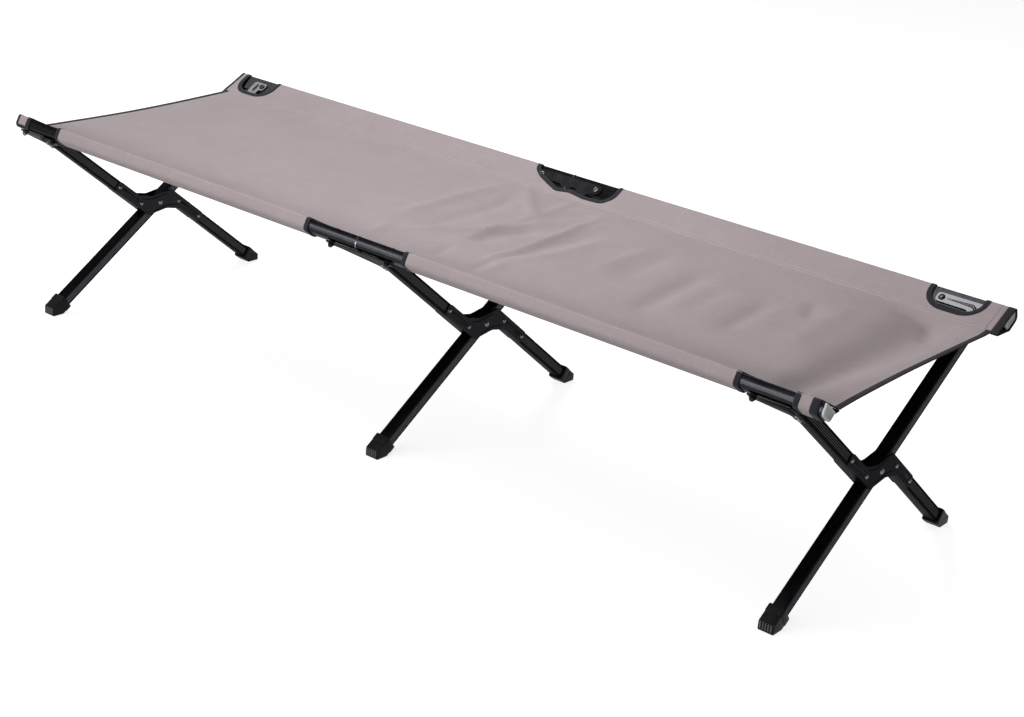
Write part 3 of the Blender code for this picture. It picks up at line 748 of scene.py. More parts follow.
# Folds of the slack cloth: (x, y) points of each crease line, half width, height. Minus is a
# valley.
folds = [
    ([(-0.102, 0.226), (-0.120, 0.127), (-0.119, -0.029), (-0.115, -0.109)], 0.012, 0.0042),
    ([(-0.067, 0.222), (-0.038, 0.141), (-0.033, 0.102), (-0.042, -0.088)], 0.013, -0.0042),
    ([(-0.061, 0.236), (0.038, 0.132), (0.052, 0.102)], 0.010, 0.0035),
    ([(0.057, 0.244), (0.054, 0.141)], 0.009, 0.0032),
    ([(0.124, 0.222), (0.064, 0.127)], 0.011, -0.0038),
    ([(0.052, 0.141), (0.050, 0.021), (0.054, -0.109)], 0.006, 0.0019),
    ([(0.134, 0.132), (0.096, 0.091), (0.064, 0.032), (0.038, -0.029), (-0.017, -0.099),
      (-0.072, -0.159)], 0.012, 0.0061),
    ([(0.114, 0.067), (0.079, -0.009), (0.069, -0.088)], 0.015, -0.0064),
    ([(0.144, 0.216), (0.149, 0.041), (0.155, -0.129), (0.168, -0.194)], 0.006, 0.0035),
    ([(0.189, 0.151), (0.178, 0.041), (0.161, -0.109)], 0.017, -0.0077),
    ([(0.228, 0.111), (0.216, 0.001), (0.183, -0.129)], 0.012, 0.0029),
    ([(0.309, 0.146), (0.307, 0.061), (0.312, -0.038)], 0.011, 0.0029),
    ([(0.351, 0.166), (0.359, -0.038)], 0.015, -0.0026),
    ([(0.450, 0.132), (0.461, -0.009), (0.480, -0.144)], 0.016, -0.0058),
    ([(0.519, 0.081), (0.536, -0.079)], 0.012, -0.0019),
    ([(0.604, 0.091), (0.616, -0.009), (0.630, -0.099)], 0.013, -0.0042),
    ([(0.659, 0.141), (0.696, 0.061)], 0.010, -0.0032),
    ([(0.714, 0.181), (0.726, 0.041), (0.739, -0.088)], 0.016, 0.0026),
    ([(0.834, 0.236), (0.872, 0.151)], 0.010, -0.0038),
    ([(0.161, -0.129), (0.183, -0.218)], 0.009, -0.0032),
    ([(0.189, -0.129), (0.206, -0.218)], 0.008, 0.0026),
    ([(-0.087, -0.129), (-0.061, -0.213)], 0.009, 0.0029),
    ([(0.069, -0.139), (0.088, -0.216)], 0.009, -0.0029),
]
# The deep fold at the right end: it narrows towards the front
endFold = {"line": [(0.846, 0.245), (0.850, 0.040), (0.842, -0.235)], "rear": 0.044,
           "front": 0.018, "depth": 0.0190, "shallower": 0.25}
# Low swells all over the bed
swell = {"height": 0.0012, "size": 5.2, "fade": (0.0, 0.3)}
# Small puckers beside the seams, and the sleeve's edge that lies on the bed there
pucker = {"height": 0.00035, "along": 62, "across": 14, "fade": 0.020, "reach": 0.05}
sleeveEdge = {"height": 0.0006, "rise": (-0.0006, 0.0008), "fall": (0.012, 0.020), "reach": 0.03}


def lineDistance(x, y, line):
    # Distance to a bent line, and how far along it, 0 to 1
    best = np.full(x.shape, 1e9)
    part = np.zeros(x.shape)
    spans = [math.dist(a, b) for a, b in zip(line, line[1:])]
    done = 0.0
    for (a, b), span in zip(zip(line, line[1:]), spans):
        dx, dy = (b[0] - a[0]) / span, (b[1] - a[1]) / span
        t = np.clip((x - a[0]) * dx + (y - a[1]) * dy, 0, span)
        d = np.hypot(x - a[0] - dx * t, y - a[1] - dy * t)
        closer = d < best
        best = np.where(closer, d, best)
        part = np.where(closer, (done + t) / sum(spans), part)
        done += span
    return best, part


def foldHeights(x, y):
    total = np.zeros(x.shape)
    for line, width, height in folds:
        away, part = lineDistance(x, y, line)
        fade = np.clip(np.minimum(part, 1 - part) * 4 + 0.15, 0, 1)
        total += height * fade * np.exp(-0.5 * (away / width) ** 2)
    away, part = lineDistance(x, y, endFold["line"])
    width = endFold["rear"] + (endFold["front"] - endFold["rear"]) * part
    depth = endFold["depth"] * (1.0 - endFold["shallower"] * part)
    total -= depth * np.exp(-0.5 * (away / width) ** 2)
    return total


def smoothly(value, low, high):
    t = np.clip((value - low) / (high - low), 0, 1)
    return t * t * (3 - 2 * t)


def clothSurface():
    # Places and normals of the whole uncut sheet: arrays over (column, row)
    x = np.repeat(columns[:, None], len(rowU), 1)
    y = np.repeat(rowPlaces[None, :, 0], len(columns), 0)
    z = np.repeat(rowPlaces[None, :, 1], len(columns), 0)
    first, last = cover["ends"]
    near = np.abs(2 * (x - first) / (last - first) - 1) ** cover["hemPower"]
    across = np.clip((rowU - seamU[0]) / (seamU[1] - seamU[0]) * 2 - 1, -1, 1)[None, :]
    inward = cover["hemInset"] * (1 - across ** 2) * near
    x = np.copysign(np.abs(x) - inward, x)
    z = z + cover["sag"] * cover["hemLift"] * (1 - across ** 2) * near
    bedPart = 1 - np.abs(across)
    height = foldHeights(x, y) * smoothly(bedPart, *cover["foldFade"])
    broad = np.zeros(x.shape)
    for i in range(x.shape[0]):
        for j in range(x.shape[1]):
            spot = Vector((columns[i], rowU[j], 0.3))
            broad[i, j] = noise.noise(spot * swell["size"])
            away = min(abs(rowU[j] - seamU[0]), abs(rowU[j] - seamU[1]))
            if away < pucker["reach"]:
                spot = Vector((columns[i] * pucker["along"], rowU[j] * pucker["across"], 2.1))
                height[i, j] += (pucker["height"] * noise.noise(spot)
                                 * math.exp(-(away / pucker["fade"]) ** 2))
    height = height + swell["height"] * broad * smoothly(bedPart, *swell["fade"])
    for seam, way in ((seamU[0], -1), (seamU[1], 1)):
        beyond = (rowU - seam) * way
        step = (smoothly(beyond, *sleeveEdge["rise"]) * (1 - smoothly(beyond, *sleeveEdge["fall"]))
                * sleeveEdge["height"])
        height = height + (step * (np.abs(rowU - seam) < sleeveEdge["reach"]))[None, :]
    places = np.stack([x, y, z], -1)
    alongX = np.gradient(places, axis=0)
    alongU = np.gradient(places, axis=1)
    normals = np.cross(alongX, alongU)
    normals /= np.linalg.norm(normals, axis=-1, keepdims=True)
    places = places + normals * height[..., None]
    return places, normals


sheetPlaces, sheetNormals = clothSurface()
print("cloth surface shaped", sheetPlaces.shape)


def onCloth(x, u, lift=0.0):
    # World place on the uncut sheet. Beyond its edges it runs straight on.
    i = int(np.clip(np.searchsorted(columns, x) - 1, 0, len(columns) - 2))
    j = int(np.clip(np.searchsorted(rowU, u) - 1, 0, len(rowU) - 2))
    a = (x - columns[i]) / (columns[i + 1] - columns[i])
    b = (u - rowU[j]) / (rowU[j + 1] - rowU[j])
    spot, normal = 0.0, 0.0
    for di, wi in ((0, 1 - a), (1, a)):
        for dj, wj in ((0, 1 - b), (1, b)):
            spot = spot + sheetPlaces[i + di, j + dj] * (wi * wj)
            normal = normal + sheetNormals[i + di, j + dj] * (wi * wj)
    normal = normal / np.linalg.norm(normal)
    return Vector(spot + normal * lift)


def uShape(side, left, right, deep, bend=0.034):
    low = -side["lap"]
    return [(left, low, 0.014), (right, low, 0.014), (right, deep, bend), (left, deep, bend)]


# Openings of the sleeves over the leg tops, as (x, s, radius) corners. s runs from the rail's
# upper edge over the top layer to the seam, and minus is round the rail.
cutOuts = {
    "front_left": (front, [(-0.960, -front["lap"], 0.0), (-0.823, -front["lap"], 0.014),
                           (-0.823, 0.049, 0.032), (-0.908, 0.049, 0.032),
                           (-0.908, -0.0275, 0.003), (-0.960, -0.0275, 0.0)]),
    "front_middle": (front, uShape(front, -0.117, 0.110, 0.060)),
    "front_right": (front, uShape(front, 0.800, 0.897, 0.049)),
    "rear_left": (rear, uShape(rear, -0.926, -0.837, 0.049, 0.030)),
    "rear_middle": (rear, [(-0.082, -rear["lap"], 0.014), (0.111, -rear["lap"], 0.014),
                           (0.111, 0.029, 0.018), (0.098, 0.046, 0.011), (0.062, 0.048, 0.020),
                           (0.022, 0.042, 0.016), (-0.008, 0.048, 0.012),
                           (-0.062, 0.024, 0.026), (-0.082, 0.008, 0.016)]),
    "rear_right": (rear, uShape(rear, 0.800, 0.897, 0.043)),
}


def cutOutline(side, corners):
    # Outline as (x, u), evenly spaced
    loop = [(x, side["edge"] + side["sign"] * s) for x, s in roundedLoop(corners, 10)]
    dense = densified(loop + loop[:1], cover["outlineStep"])
    return [dense[0]] + [b for a, b in zip(dense, dense[1:]) if math.dist(a, b) > 1e-5][:-1]


outlines = {name: cutOutline(side, corners) for name, (side, corners) in cutOuts.items()}


def insideDistance(x, u, outline):
    # Signed distance to a closed outline, plus inside it, and the nearest point on it
    best = np.full(x.shape, 1e9)
    nearX, nearU = np.zeros(x.shape), np.zeros(x.shape)
    inside = np.zeros(x.shape, bool)
    for (ax, au), (bx, bu) in zip(outline, outline[1:] + outline[:1]):
        span = (bx - ax) ** 2 + (bu - au) ** 2
        t = np.clip(((x - ax) * (bx - ax) + (u - au) * (bu - au)) / span, 0, 1)
        px, pu = ax + (bx - ax) * t, au + (bu - au) * t
        d = np.hypot(x - px, u - pu)
        closer = d < best
        best = np.where(closer, d, best)
        nearX, nearU = np.where(closer, px, nearX), np.where(closer, pu, nearU)
        crosses = (au > u) != (bu > u)
        with np.errstate(divide="ignore", invalid="ignore"):
            inside ^= crosses & (x < (bx - ax) * (u - au) / (bu - au) + ax)
    return np.where(inside, best, -best), nearX, nearU


def addCloth():
    gridX, gridU = np.meshgrid(columns, rowU, indexing="ij")
    goneDeep = np.zeros(gridX.shape, bool)
    placeX, placeU = gridX.copy(), gridU.copy()
    reach = cover["cutReach"]
    for outline in outlines.values():
        xs, us = zip(*outline)
        close = ((gridX > min(xs) - reach) & (gridX < max(xs) + reach)
                 & (gridU > min(us) - reach) & (gridU < max(us) + reach))
        d, nearX, nearU = insideDistance(gridX[close], gridU[close], outline)
        goneDeep[close] |= d > 0
        snapped = d > -cover["snap"]
        placeX[close] = np.where(snapped, np.clip(nearX, *cover["ends"]), placeX[close])
        placeU[close] = np.where(snapped, nearU, placeU[close])
    points, uvs, faces, index = [], [], [], {}
    area = 0.0
    count, rows = gridX.shape

    def vertex(i, j):
        if (i, j) not in index:
            index[i, j] = len(points)
            x, u = placeX[i, j], placeU[i, j]
            if x == gridX[i, j] and u == gridU[i, j]:
                points.append(Vector(sheetPlaces[i, j]))
            else:
                points.append(onCloth(x, u))
            uvs.append((x, u))
        return index[i, j]

    for i in range(count - 1):
        for j in range(rows - 1):
            square = ((i, j), (i + 1, j), (i + 1, j + 1), (i, j + 1))
            if all(goneDeep[k] for k in square):
                continue
            flat = [(placeX[k], placeU[k]) for k in square]
            size = 0.5 * abs(sum(flat[k][0] * flat[(k + 1) % 4][1]
                                 - flat[(k + 1) % 4][0] * flat[k][1] for k in range(4)))
            if size < cover["leastFace"]:
                continue
            area += size
            faces.append([vertex(*k) for k in square])
    piece = buildObject("bed_cloth", points, faces, 180, uvs)
    thick = piece.modifiers.new("cloth thickness", "SOLIDIFY")
    thick.thickness = cover["thick"]
    thick.offset = 0
    thick.use_even_offset = False
    return piece, area


bedCloth, clothArea = addCloth()
wear(bedCloth, canvas, None)
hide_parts("cover")
print("cloth area", round(clothArea, 4))

# Edge tape: folded over the cloth's edge, wide on both faces
tapes = {
    "width": 0.0092,          # round the openings
    "endWidth": 0.0135,       # right sleeve ends
    "leftWidth": 0.0055,      # left sleeve ends
    "hemWidth": 0.0100,
    "leftStart": 0.0265,      # from the rail's upper edge round the rail
    "reach": 0.004,           # of the sleeve ends' tape over the seam
    "endStep": 0.0022,
    "hemStep": 0.006,
    "lip": 0.0009,
    "near": 0.00062,          # cloth middle to the tape's two faces
    "far": 0.00125,
}


def tapeProfile(width):
    # (into the cloth, lift) round the folded tape
    lip, near, far = tapes["lip"], tapes["near"], tapes["far"]
    outer = [(width, near + 0.0002), (width - 0.0004, far - 0.0001), (width * 0.6, far),
             (width * 0.25, far + 0.0001), (0.0006, far), (-lip * 0.7, far * 0.62), (-lip, 0)]
    under = [(a, -b) for a, b in reversed(outer[:-1])]
    inner = [(width, -near), (0.0004, -near), (0.0001, 0), (0.0004, near), (width, near)]
    return outer + under + inner


def ways(a, b):
    # Unit vectors from a towards b, and to the left of that
    along = Vector((b[0] - a[0], b[1] - a[1])).normalized()
    return along, Vector((-along.y, along.x))


def neighbours(path, closed, k):
    count = len(path)
    if closed:
        return path[k - 1], path[(k + 1) % count]
    return path[max(k - 1, 0)], path[min(k + 1, count - 1)]


def sewn(name, shape, uvs, look, body, smoothAngle=80):
    piece = buildObject(name, shape.points, shape.faces, smoothAngle, uvs)
    wear(piece, look, body)
    return piece


def addTape(name, path, closed, width, flip, body):
    # path is (x, u) along the cloth's edge; the tape reaches to its left, or right where flipped
    shape, uvs = Shape(), []
    profile = tapeProfile(width)
    sections = []
    run = 0.0
    for k, here in enumerate(path):
        before, after = neighbours(path, closed, k)
        out = ways(before, after)[1] * flip
        sections.append([onCloth(here[0] + out.x * a, here[1] + out.y * a, b) for a, b in profile])
        uvs += [(run, a + b) for a, b in profile]
        run += math.dist(here, after)
    rings = shape.loft(sections, closed)
    if not closed:
        outerCount = 13           # points of the profile's outer side
        for ring in (rings[0], rings[-1]):
            top, low = ring[:outerCount], ring[outerCount:][::-1]
            for k in range(len(top) - 1):
                share = [round(i * (len(low) - 1) / (len(top) - 1)) for i in (k, k + 1)]
                corners = [top[k], top[k + 1], low[share[1]], low[share[0]]]
                shape.faces.append(tuple(dict.fromkeys(corners)))
    return sewn(name, shape, uvs, tape, body, 60)


def outwardFlip(outline):
    # Which way is out of a closed outline
    area = sum(a[0] * b[1] - b[0] * a[1] for a, b in zip(outline, outline[1:] + outline[:1]))
    return -1 if area > 0 else 1


def openPart(outline, keep):
    # The stretch of a closed outline whose points pass keep, in order
    flags = [keep(p) for p in outline]
    start = next(k for k in range(len(outline)) if flags[k] and not flags[k - 1])
    turned = outline[start:] + outline[:start]
    stretch = []
    for p in turned:
        if not keep(p):
            break
        stretch.append(p)
    return stretch


for name, path in outlines.items():
    side = cutOuts[name][0]
    flip = outwardFlip(path)
    closed = name != "front_left"
    if not closed:
        path = openPart(path, lambda p: p[0] > cover["ends"][0] + 0.002)
    addTape("cutout_tape_" + name, path, closed, tapes["width"], flip, side["body"])


def straight(a, b, step=0.003):
    return densified([a, b], step)


def endTapes():
    first, last = cover["ends"]
    for side in sides:
        # the front sleeve's left end stops at its opening
        start = side["edge"] - tapes["leftStart"] if side is front else side["hidden"]
        for end, x, begin, width, flip in (
                ("right", last, side["hidden"], tapes["endWidth"], 1),
                ("left", first, start, tapes["leftWidth"], -1)):
            path = straight((x, begin), (x, side["seam"] + side["sign"] * tapes["reach"]),
                            tapes["endStep"])
            addTape("sleeve_end_%s_%s" % (end, side["name"]), path, False, width, flip,
                    side["body"])
    for end, x, flip in (("left", first, -1), ("right", last, 1)):
        path = straight((x, seamU[0] - 0.002), (x, seamU[1] + 0.002), tapes["hemStep"])
        hem = addTape("hem_tape_" + end, path, False, tapes["hemWidth"], flip, None)
        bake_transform(hem)


endTapes()
print("edge tapes on")

# Stitches: short raised threads along lines on the cloth
stitch = {
    "pitch": 0.0034,
    "length": 0.0025,
    "thick": 0.00055,
    "seamRows": (0.0022, 0.0088),
    "seamStart": 0.008,
    "seamEnd": 0.015,
    "onTape": 0.0016,         # from a tape's inner edge
    "onHem": 0.0014,
    "hemFolds": (0.0165, 0.0235),
    "tapeLift": 0.00115,
}


def addStitches(shape, uvs, path, closed, lift):
    points = path + path[:1] if closed else path
    spans = [math.dist(a, b) for a, b in zip(points, points[1:])]
    total = sum(spans)
    count = int(total / stitch["pitch"])
    k, done = 0, 0.0
    for n in range(count):
        middle = (n + 0.5) * total / count
        while k < len(spans) - 1 and done + spans[k] < middle:
            done += spans[k]
            k += 1
        part = (middle - done) / spans[k]
        a, b = points[k], points[k + 1]
        here = Vector((a[0] + (b[0] - a[0]) * part, a[1] + (b[1] - a[1]) * part))
        along, out = ways(a, b)
        sections = []
        for t, size, level in ((-0.5, 0.35, -0.2), (-0.25, 0.95, 0.22), (0.0, 1.0, 0.34),
                               (0.25, 0.95, 0.22), (0.5, 0.35, -0.2)):
            spot = here + along * (t * stitch["length"])
            places = []
            for c, s in ((1, 0), (0, 1), (-1, 0), (0, -1)):
                side = spot + out * (c * size * stitch["thick"] / 2)
                rise = lift + stitch["thick"] * (level + 0.5 * s * size)
                places.append(onCloth(side.x, side.y, rise))
                uvs.append((spot.x + c * 0.0002, spot.y + s * 0.0002))
            sections.append(places)
        rings = shape.loft(sections)
        shape.cap(rings[0][::-1])
        shape.cap(rings[-1])


def inset(path, closed, amount):
    moved = []
    for k, here in enumerate(path):
        out = ways(*neighbours(path, closed, k))[1]
        moved.append((here[0] + out.x * amount, here[1] + out.y * amount))
    return moved


def addSeams():
    first, last = cover["ends"]
    for side in sides:
        shape, uvs = Shape(), []
        for away in stitch["seamRows"]:
            u = side["seam"] - side["sign"] * away
            line = straight((first + stitch["seamStart"], u), (last - stitch["seamEnd"], u))
            addStitches(shape, uvs, line, False, cover["thick"] / 2)
        sewn("seam_stitches_" + side["name"], shape, uvs, thread, side["body"])
        shape, uvs = Shape(), []
        for name, line in outlines.items():
            if cutOuts[name][0] is not side:
                continue
            away = outwardFlip(line) * (tapes["width"] - stitch["onTape"])
            closed = name != "front_left"
            if not closed:
                line = openPart(line, lambda p: p[0] > first + 0.004)
            addStitches(shape, uvs, inset(line, closed, away), closed, stitch["tapeLift"])
        x = last - tapes["endWidth"] + stitch["onTape"]
        line = straight((x, side["hidden"]), (x, side["seam"]), tapes["endStep"])
        addStitches(shape, uvs, line, False, stitch["tapeLift"])
        sewn("tape_stitches_" + side["name"], shape, uvs, darkThread, side["body"])
    onHem = tapes["hemWidth"] - stitch["onHem"]
    for name, look, insets, lift in (
            ("hem_stitches", darkThread, (onHem, onHem), stitch["tapeLift"]),
            ("hem_fold_stitches", thread, stitch["hemFolds"], cover["thick"] / 2)):
        shape, uvs = Shape(), []
        for x in (first + insets[0], last - insets[1]):
            line = straight((x, seamU[0] + 0.003), (x, seamU[1] - 0.003), tapes["hemStep"])
            addStitches(shape, uvs, line, False, lift)
        piece = sewn(name, shape, uvs, look, None)
        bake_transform(piece)


addSeams()
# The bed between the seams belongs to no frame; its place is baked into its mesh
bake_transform(bedCloth)
print("seams sewn")

# Rail halves: crowned sides, and fine lines pressed along the flat
railTube = {
    "crown": 0.0007,
    "lines": 10,
    "lineDepth": 0.0006,
    "lined": 0.90,            # share of the flat that the lines take
    "gap": 0.0003,            # from the bed's middle to each half
    "capLip": 0.0042,
    "hollow": 0.84,           # inner section as a share of the outer
    "stations": 12,
}


def railSection():
    # Section as (down, across), from the upper edge round the outside to the lower edge
    steps = 8
    loop = railLoop(0.0, steps)
    count = steps + 1
    arcs = [loop[k * count:(k + 1) * count] for k in range(4)]
    section = []
    for k, arc in enumerate(arcs):
        section += arc
        if k == 3:
            break
        a, b = Vector(arc[-1]), Vector(arcs[k + 1][0])
        out = Vector(((b - a).y, -(b - a).x)).normalized()
        if out.dot((a + b) / 2 - Vector((0, -rail["depth"] / 2))) < 0:
            out = -out
        for n in range(1, steps):
            t = 2 * n / steps - 1
            section.append(tuple(a.lerp(b, n / steps) + out * railTube["crown"] * (1 - t * t)))
    pitch = railTube["lined"] * rail["flat"] / railTube["lines"]
    for k in range(railTube["lines"]):
        middle = (railTube["lines"] / 2 - 0.5 - k) * pitch
        section += [(middle + pitch * a, -railTube["lineDepth"] * b)
                    for a, b in ((0.30, 0), (0.16, 1), (-0.16, 1), (-0.30, 0))]
    return section


def addRails():
    section = railSection()
    middle = Vector((0, -rail["depth"] / 2))
    inner = [tuple(middle + (Vector(p) - middle) * railTube["hollow"]) for p in section]
    stations = np.linspace(railTube["gap"], cot["length"] / 2 - railTube["capLip"],
                           railTube["stations"])
    for side in sides:
        for end, way in ends:
            shape = Shape()
            rings = [[shape.ring([onSide(side, way * x, d, n) for d, n in loop])
                      for x in stations] for loop in (section, inner)]
            for walls in rings:
                for a, b in zip(walls, walls[1:]):
                    shape.wall(a, b)
            shape.wall(rings[0][0], rings[1][0])
            shape.wall(rings[0][-1], rings[1][-1])
            name = "rail_%s_%s" % (side["name"], end)
            piece = shape.settle("tube_" + name, 24, railBlack, side["body"])
            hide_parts(name)


addRails()
print("rails on")

# Leg tubes: square, with grooves down the two X faces
tube = {
    "corner": 0.0022,
    "cornerSteps": 5,
    "innerCorner": 0.001,
    "wall": 0.0016,
    "grooves": 5,
    "grooveDepth": 0.0010,
    "grooved": 0.90,          # share of the face that the grooves take
    "topGap": 0.001,
    "shortStart": 0.034,
    "insert": 0.018,
    # shares of a groove's pitch and depth
    "groove": [(-0.33, 0), (-0.27, 0.15), (-0.16, 0.9), (-0.08, 1), (0.08, 1), (0.16, 0.9),
               (0.27, 0.15), (0.33, 0)],
}
shoe = {
    "width": 0.030,
    "wall": 0.003,
    "collarHeight": 0.0245,
    "toe": 0.0367,
    "radii": (0.0012, 0.0042, 0.0022, 0.0036, 0.0012),
    # shares of half the width, and how far the outline shrinks there
    "sides": [(-1.0, 0.0022), (-0.985, 0.0011), (-0.95, 0.0004), (-0.90, 0.0), (0.90, 0.0),
              (0.95, 0.0004), (0.985, 0.0011), (1.0, 0.0022)],
    "play": 0.0003,
    "rim": 0.0042,
    "collar": 0.0009,         # how far the collar stands out
    "collarRadius": 0.003,
    # below the mouth, and how far the collar grows there
    "collarLevels": [(-0.0006, -0.0013), (-0.0008, -0.0004), (0.0006, 0.0), (0.0127, 0.0),
                     (0.0135, -0.0004), (0.0139, -0.0018)],
    "lining": (-0.0002, 0.0135),
    "treads": 5,
    "treadSpan": 0.025,
    "treadWidth": 0.66,       # share of the pitch
    "treadHeight": 0.0018,
}


def tubeLoop():
    # Section as (x, across the leg)
    u, v, radius = cot["legWidth"] / 2, cot["legDepth"] / 2, tube["corner"]
    corner = boxLoop(u, v, radius, tube["cornerSteps"])
    n = tube["cornerSteps"] + 1
    pitch = tube["grooved"] * (cot["legDepth"] - 2 * radius) / tube["grooves"]
    notch = [((k - tube["grooves"] / 2 + 0.5 + part) * pitch, tube["grooveDepth"] * deep)
             for k in range(tube["grooves"]) for part, deep in tube["groove"]]
    right = [(u - deep, height) for height, deep in notch]
    left = [(deep - u, height) for height, deep in reversed(notch)]
    return corner[:n] + right + corner[n:3 * n] + left + corner[3 * n:]


def addLegTube(name, side, x, start, end, line):
    shape = Shape()
    outer = tubeLoop()
    inner = boxLoop(cot["legWidth"] / 2 - tube["wall"], cot["legDepth"] / 2 - tube["wall"],
                    tube["innerCorner"], 3)
    walls = [shape.loft([[onSide(side, x + p, down, line + q) for p, q in loop]
                         for down in (start, end)]) for loop in (outer, inner)]
    shape.fill([walls[0][0], walls[1][0]])
    shape.fill([walls[0][1], walls[1][1]])
    piece = shape.settle("tube_" + name, 30, (tubeBlack[side["name"]], paintedRibHighlight[side["name"]]),
                         side["body"])
    # the lands between the grooves get a lighter finish: a painted highlight along the ribs
    n, steps = tube["cornerSteps"] + 1, len(tube["groove"])
    for first in (n, 3 * n + steps * tube["grooves"]):
        for k in range(1, tube["grooves"]):
            piece.data.polygons[first + steps * k - 1].material_index = 1
    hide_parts(name)


def shoeCorners(side, line):
    # Shoe outline as (down, across), from the collar's mouth round the upright toe and the sole
    slope = side["slope"]
    half = cot["legDepth"] / 2 + shoe["wall"]
    lift = line + side["lift"]

    def onLeg(out, height):
        rise = height - cot["pivotHeight"]
        along = -out * math.cos(slope) + rise * math.sin(slope)
        return side["length"] - along, out * math.sin(slope) + rise * math.cos(slope) - side["lift"]

    mouth = (shoe["collarHeight"] - cot["pivotHeight"] - lift * math.cos(slope)) / math.sin(slope)
    toe = -mouth * math.cos(slope) + lift * math.sin(slope) + shoe["toe"]
    upper, lower = lift + half, lift - half
    toeTop = (upper * math.sin(slope) - toe) / math.cos(slope)
    heel = (-cot["pivotHeight"] - lower * math.cos(slope)) / math.sin(slope)
    corners = [(side["length"] - mouth, line + half), (side["length"] - toeTop, line + half),
               onLeg(toe, 0.0), (side["length"] - heel, line - half),
               (side["length"] - mouth, line - half)]
    return corners, side["length"] - mouth


def shrunk(corners, amount):
    # The outline moved inwards by amount
    middle = Vector((sum(c[0] for c in corners), sum(c[1] for c in corners))) / len(corners)
    moved = []
    count = len(corners)
    for k, here in enumerate(corners):
        a = (Vector(here) - Vector(corners[k - 1])).normalized()
        b = (Vector(corners[(k + 1) % count]) - Vector(here)).normalized()
        normals = []
        for way in (a, b):
            out = Vector((way.y, -way.x))
            if out.dot(Vector(here) - middle) < 0:
                out = -out
            normals.append(out)
        bisector = (normals[0] + normals[1]).normalized()
        moved.append(tuple(Vector(here) - bisector * amount / max(0.3, bisector.dot(normals[0]))))
    return moved


def addShoe(name, side, x, line):
    shape = Shape()
    corners, mouth = shoeCorners(side, line)
    half = shoe["width"] / 2
    # the shoe's body: its sides are rounded over
    sections = []
    for part, amount in shoe["sides"]:
        loop = roundedLoop([(d, n, max(r - amount * 0.3, 0.0006))
                            for (d, n), r in zip(shrunk(corners, amount), shoe["radii"])], 4)
        sections.append([onSide(side, x + part * half, d, n) for d, n in loop])
    rings = shape.loft(sections)
    shape.fill([rings[0]])
    shape.fill([rings[-1]])

    # collar round the mouth
    def ringAt(down, loop):
        return [onSide(side, x + p, mouth + down, line + q) for p, q in loop]

    u, v = half + shoe["collar"], cot["legDepth"] / 2 + shoe["wall"] + shoe["collar"]
    steps = shape.loft([ringAt(down, boxLoop(u + grow, v + grow, shoe["collarRadius"], 4))
                        for down, grow in shoe["collarLevels"]])
    inner = boxLoop(cot["legWidth"] / 2 + shoe["play"], v - shoe["rim"], 0.001, 4)
    lip, low = [shape.ring(ringAt(down, inner)) for down in shoe["lining"]]
    shape.wall(steps[0], lip)
    shape.wall(lip, low)
    shape.wall(low, steps[-1])
    piece = shape.settle("shoe_" + name, 40, footPlastic, side["body"])
    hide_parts(name)
    # treads down the toe, lighter than the shoe: a painted highlight on the tread tops
    toeTop, toeFoot = corners[1:3]
    toeWay = (Vector(toeFoot) - Vector(toeTop)).normalized()
    out = Vector((-toeWay.y, toeWay.x))
    if out.dot(Vector(toeTop) - Vector(corners[4])) < 0:
        out = -out
    run = math.dist(toeTop, toeFoot)
    treads = Shape()
    pitch = shoe["treadSpan"] / shoe["treads"]
    for k in range(shoe["treads"]):
        place = x + (k - shoe["treads"] / 2 + 0.5) * pitch

        def onToe(a, b, h):
            spot = Vector(toeTop) + toeWay * a + out * h
            return onSide(side, place + b, spot.x, spot.y)

        treads.rib([(a, 0) for a in (-0.0006, 0.0006, run * 0.5, run - 0.0052, run - 0.0042)],
                   pitch * shoe["treadWidth"], shoe["treadHeight"], onToe)
    treads.settle("treads_" + name, 40, treadPaintedHighlight, side["body"])


def addLegs():
    start = rail["flat"] / 2 + tube["topGap"]
    upperLine = -cot["legDepth"] / 2
    lowerLine = upperLine + 2 * cot["bracketOffset"]
    for place, x in cot["legs"].items():
        mouth = shoeCorners(rear, upperLine)[1]
        addLegTube("long_leg_" + place, rear, x, start, mouth + tube["insert"], upperLine)
        addShoe("foot_front_" + place, rear, x, upperLine)
        addLegTube("upper_leg_" + place, front, x, start, front["length"] - tube["shortStart"],
                   upperLine)
        mouth = shoeCorners(front, lowerLine)[1]
        addLegTube("lower_leg_" + place, front, x, front["length"] + tube["shortStart"],
                   mouth + tube["insert"], lowerLine)
        addShoe("foot_rear_" + place, front, x, lowerLine)


addLegs()
print("legs and shoes on")

# Plates, screws and rivets
plate = {
    "thick": 0.0018,
    "seat": 0.0002,
    "rivets": (0.029, 0.043),   # down the leg
    "arms": {"front": {"left": 0.042, "right": -0.068}, "rear": {"left": 0.015, "right": -0.068}},
}
# Pressed beads. Sizes are width and height.
bead = {
    "size": (0.0068, 0.0019),
    "longArm": 0.03,            # shorter ones have no bead along the rail
    "armEnd": 0.011,            # short of the arm's bolt
    "armLine": 0.0030,
    "legLine": 0.001,
    "legEnd": 0.0225,
    "bend": 0.010,
    "short": [(0.0005, -0.0015), (0.0005, 0.0215)],
    "web": [(0.0500, 0.0196), (0.0385, 0.0141), (0.0300, 0.0095), (0.0235, 0.0052),
            (0.0170, -0.0010), (0.0085, -0.0108), (0.0005, -0.0192), (-0.0050, -0.0262)],
    "webSize": (0.0030, 0.0012),
    "toRivet": 0.0100,          # from a bracket's rivet to its arm's bead
    "bracketSize": (0.0078, 0.0016),
}
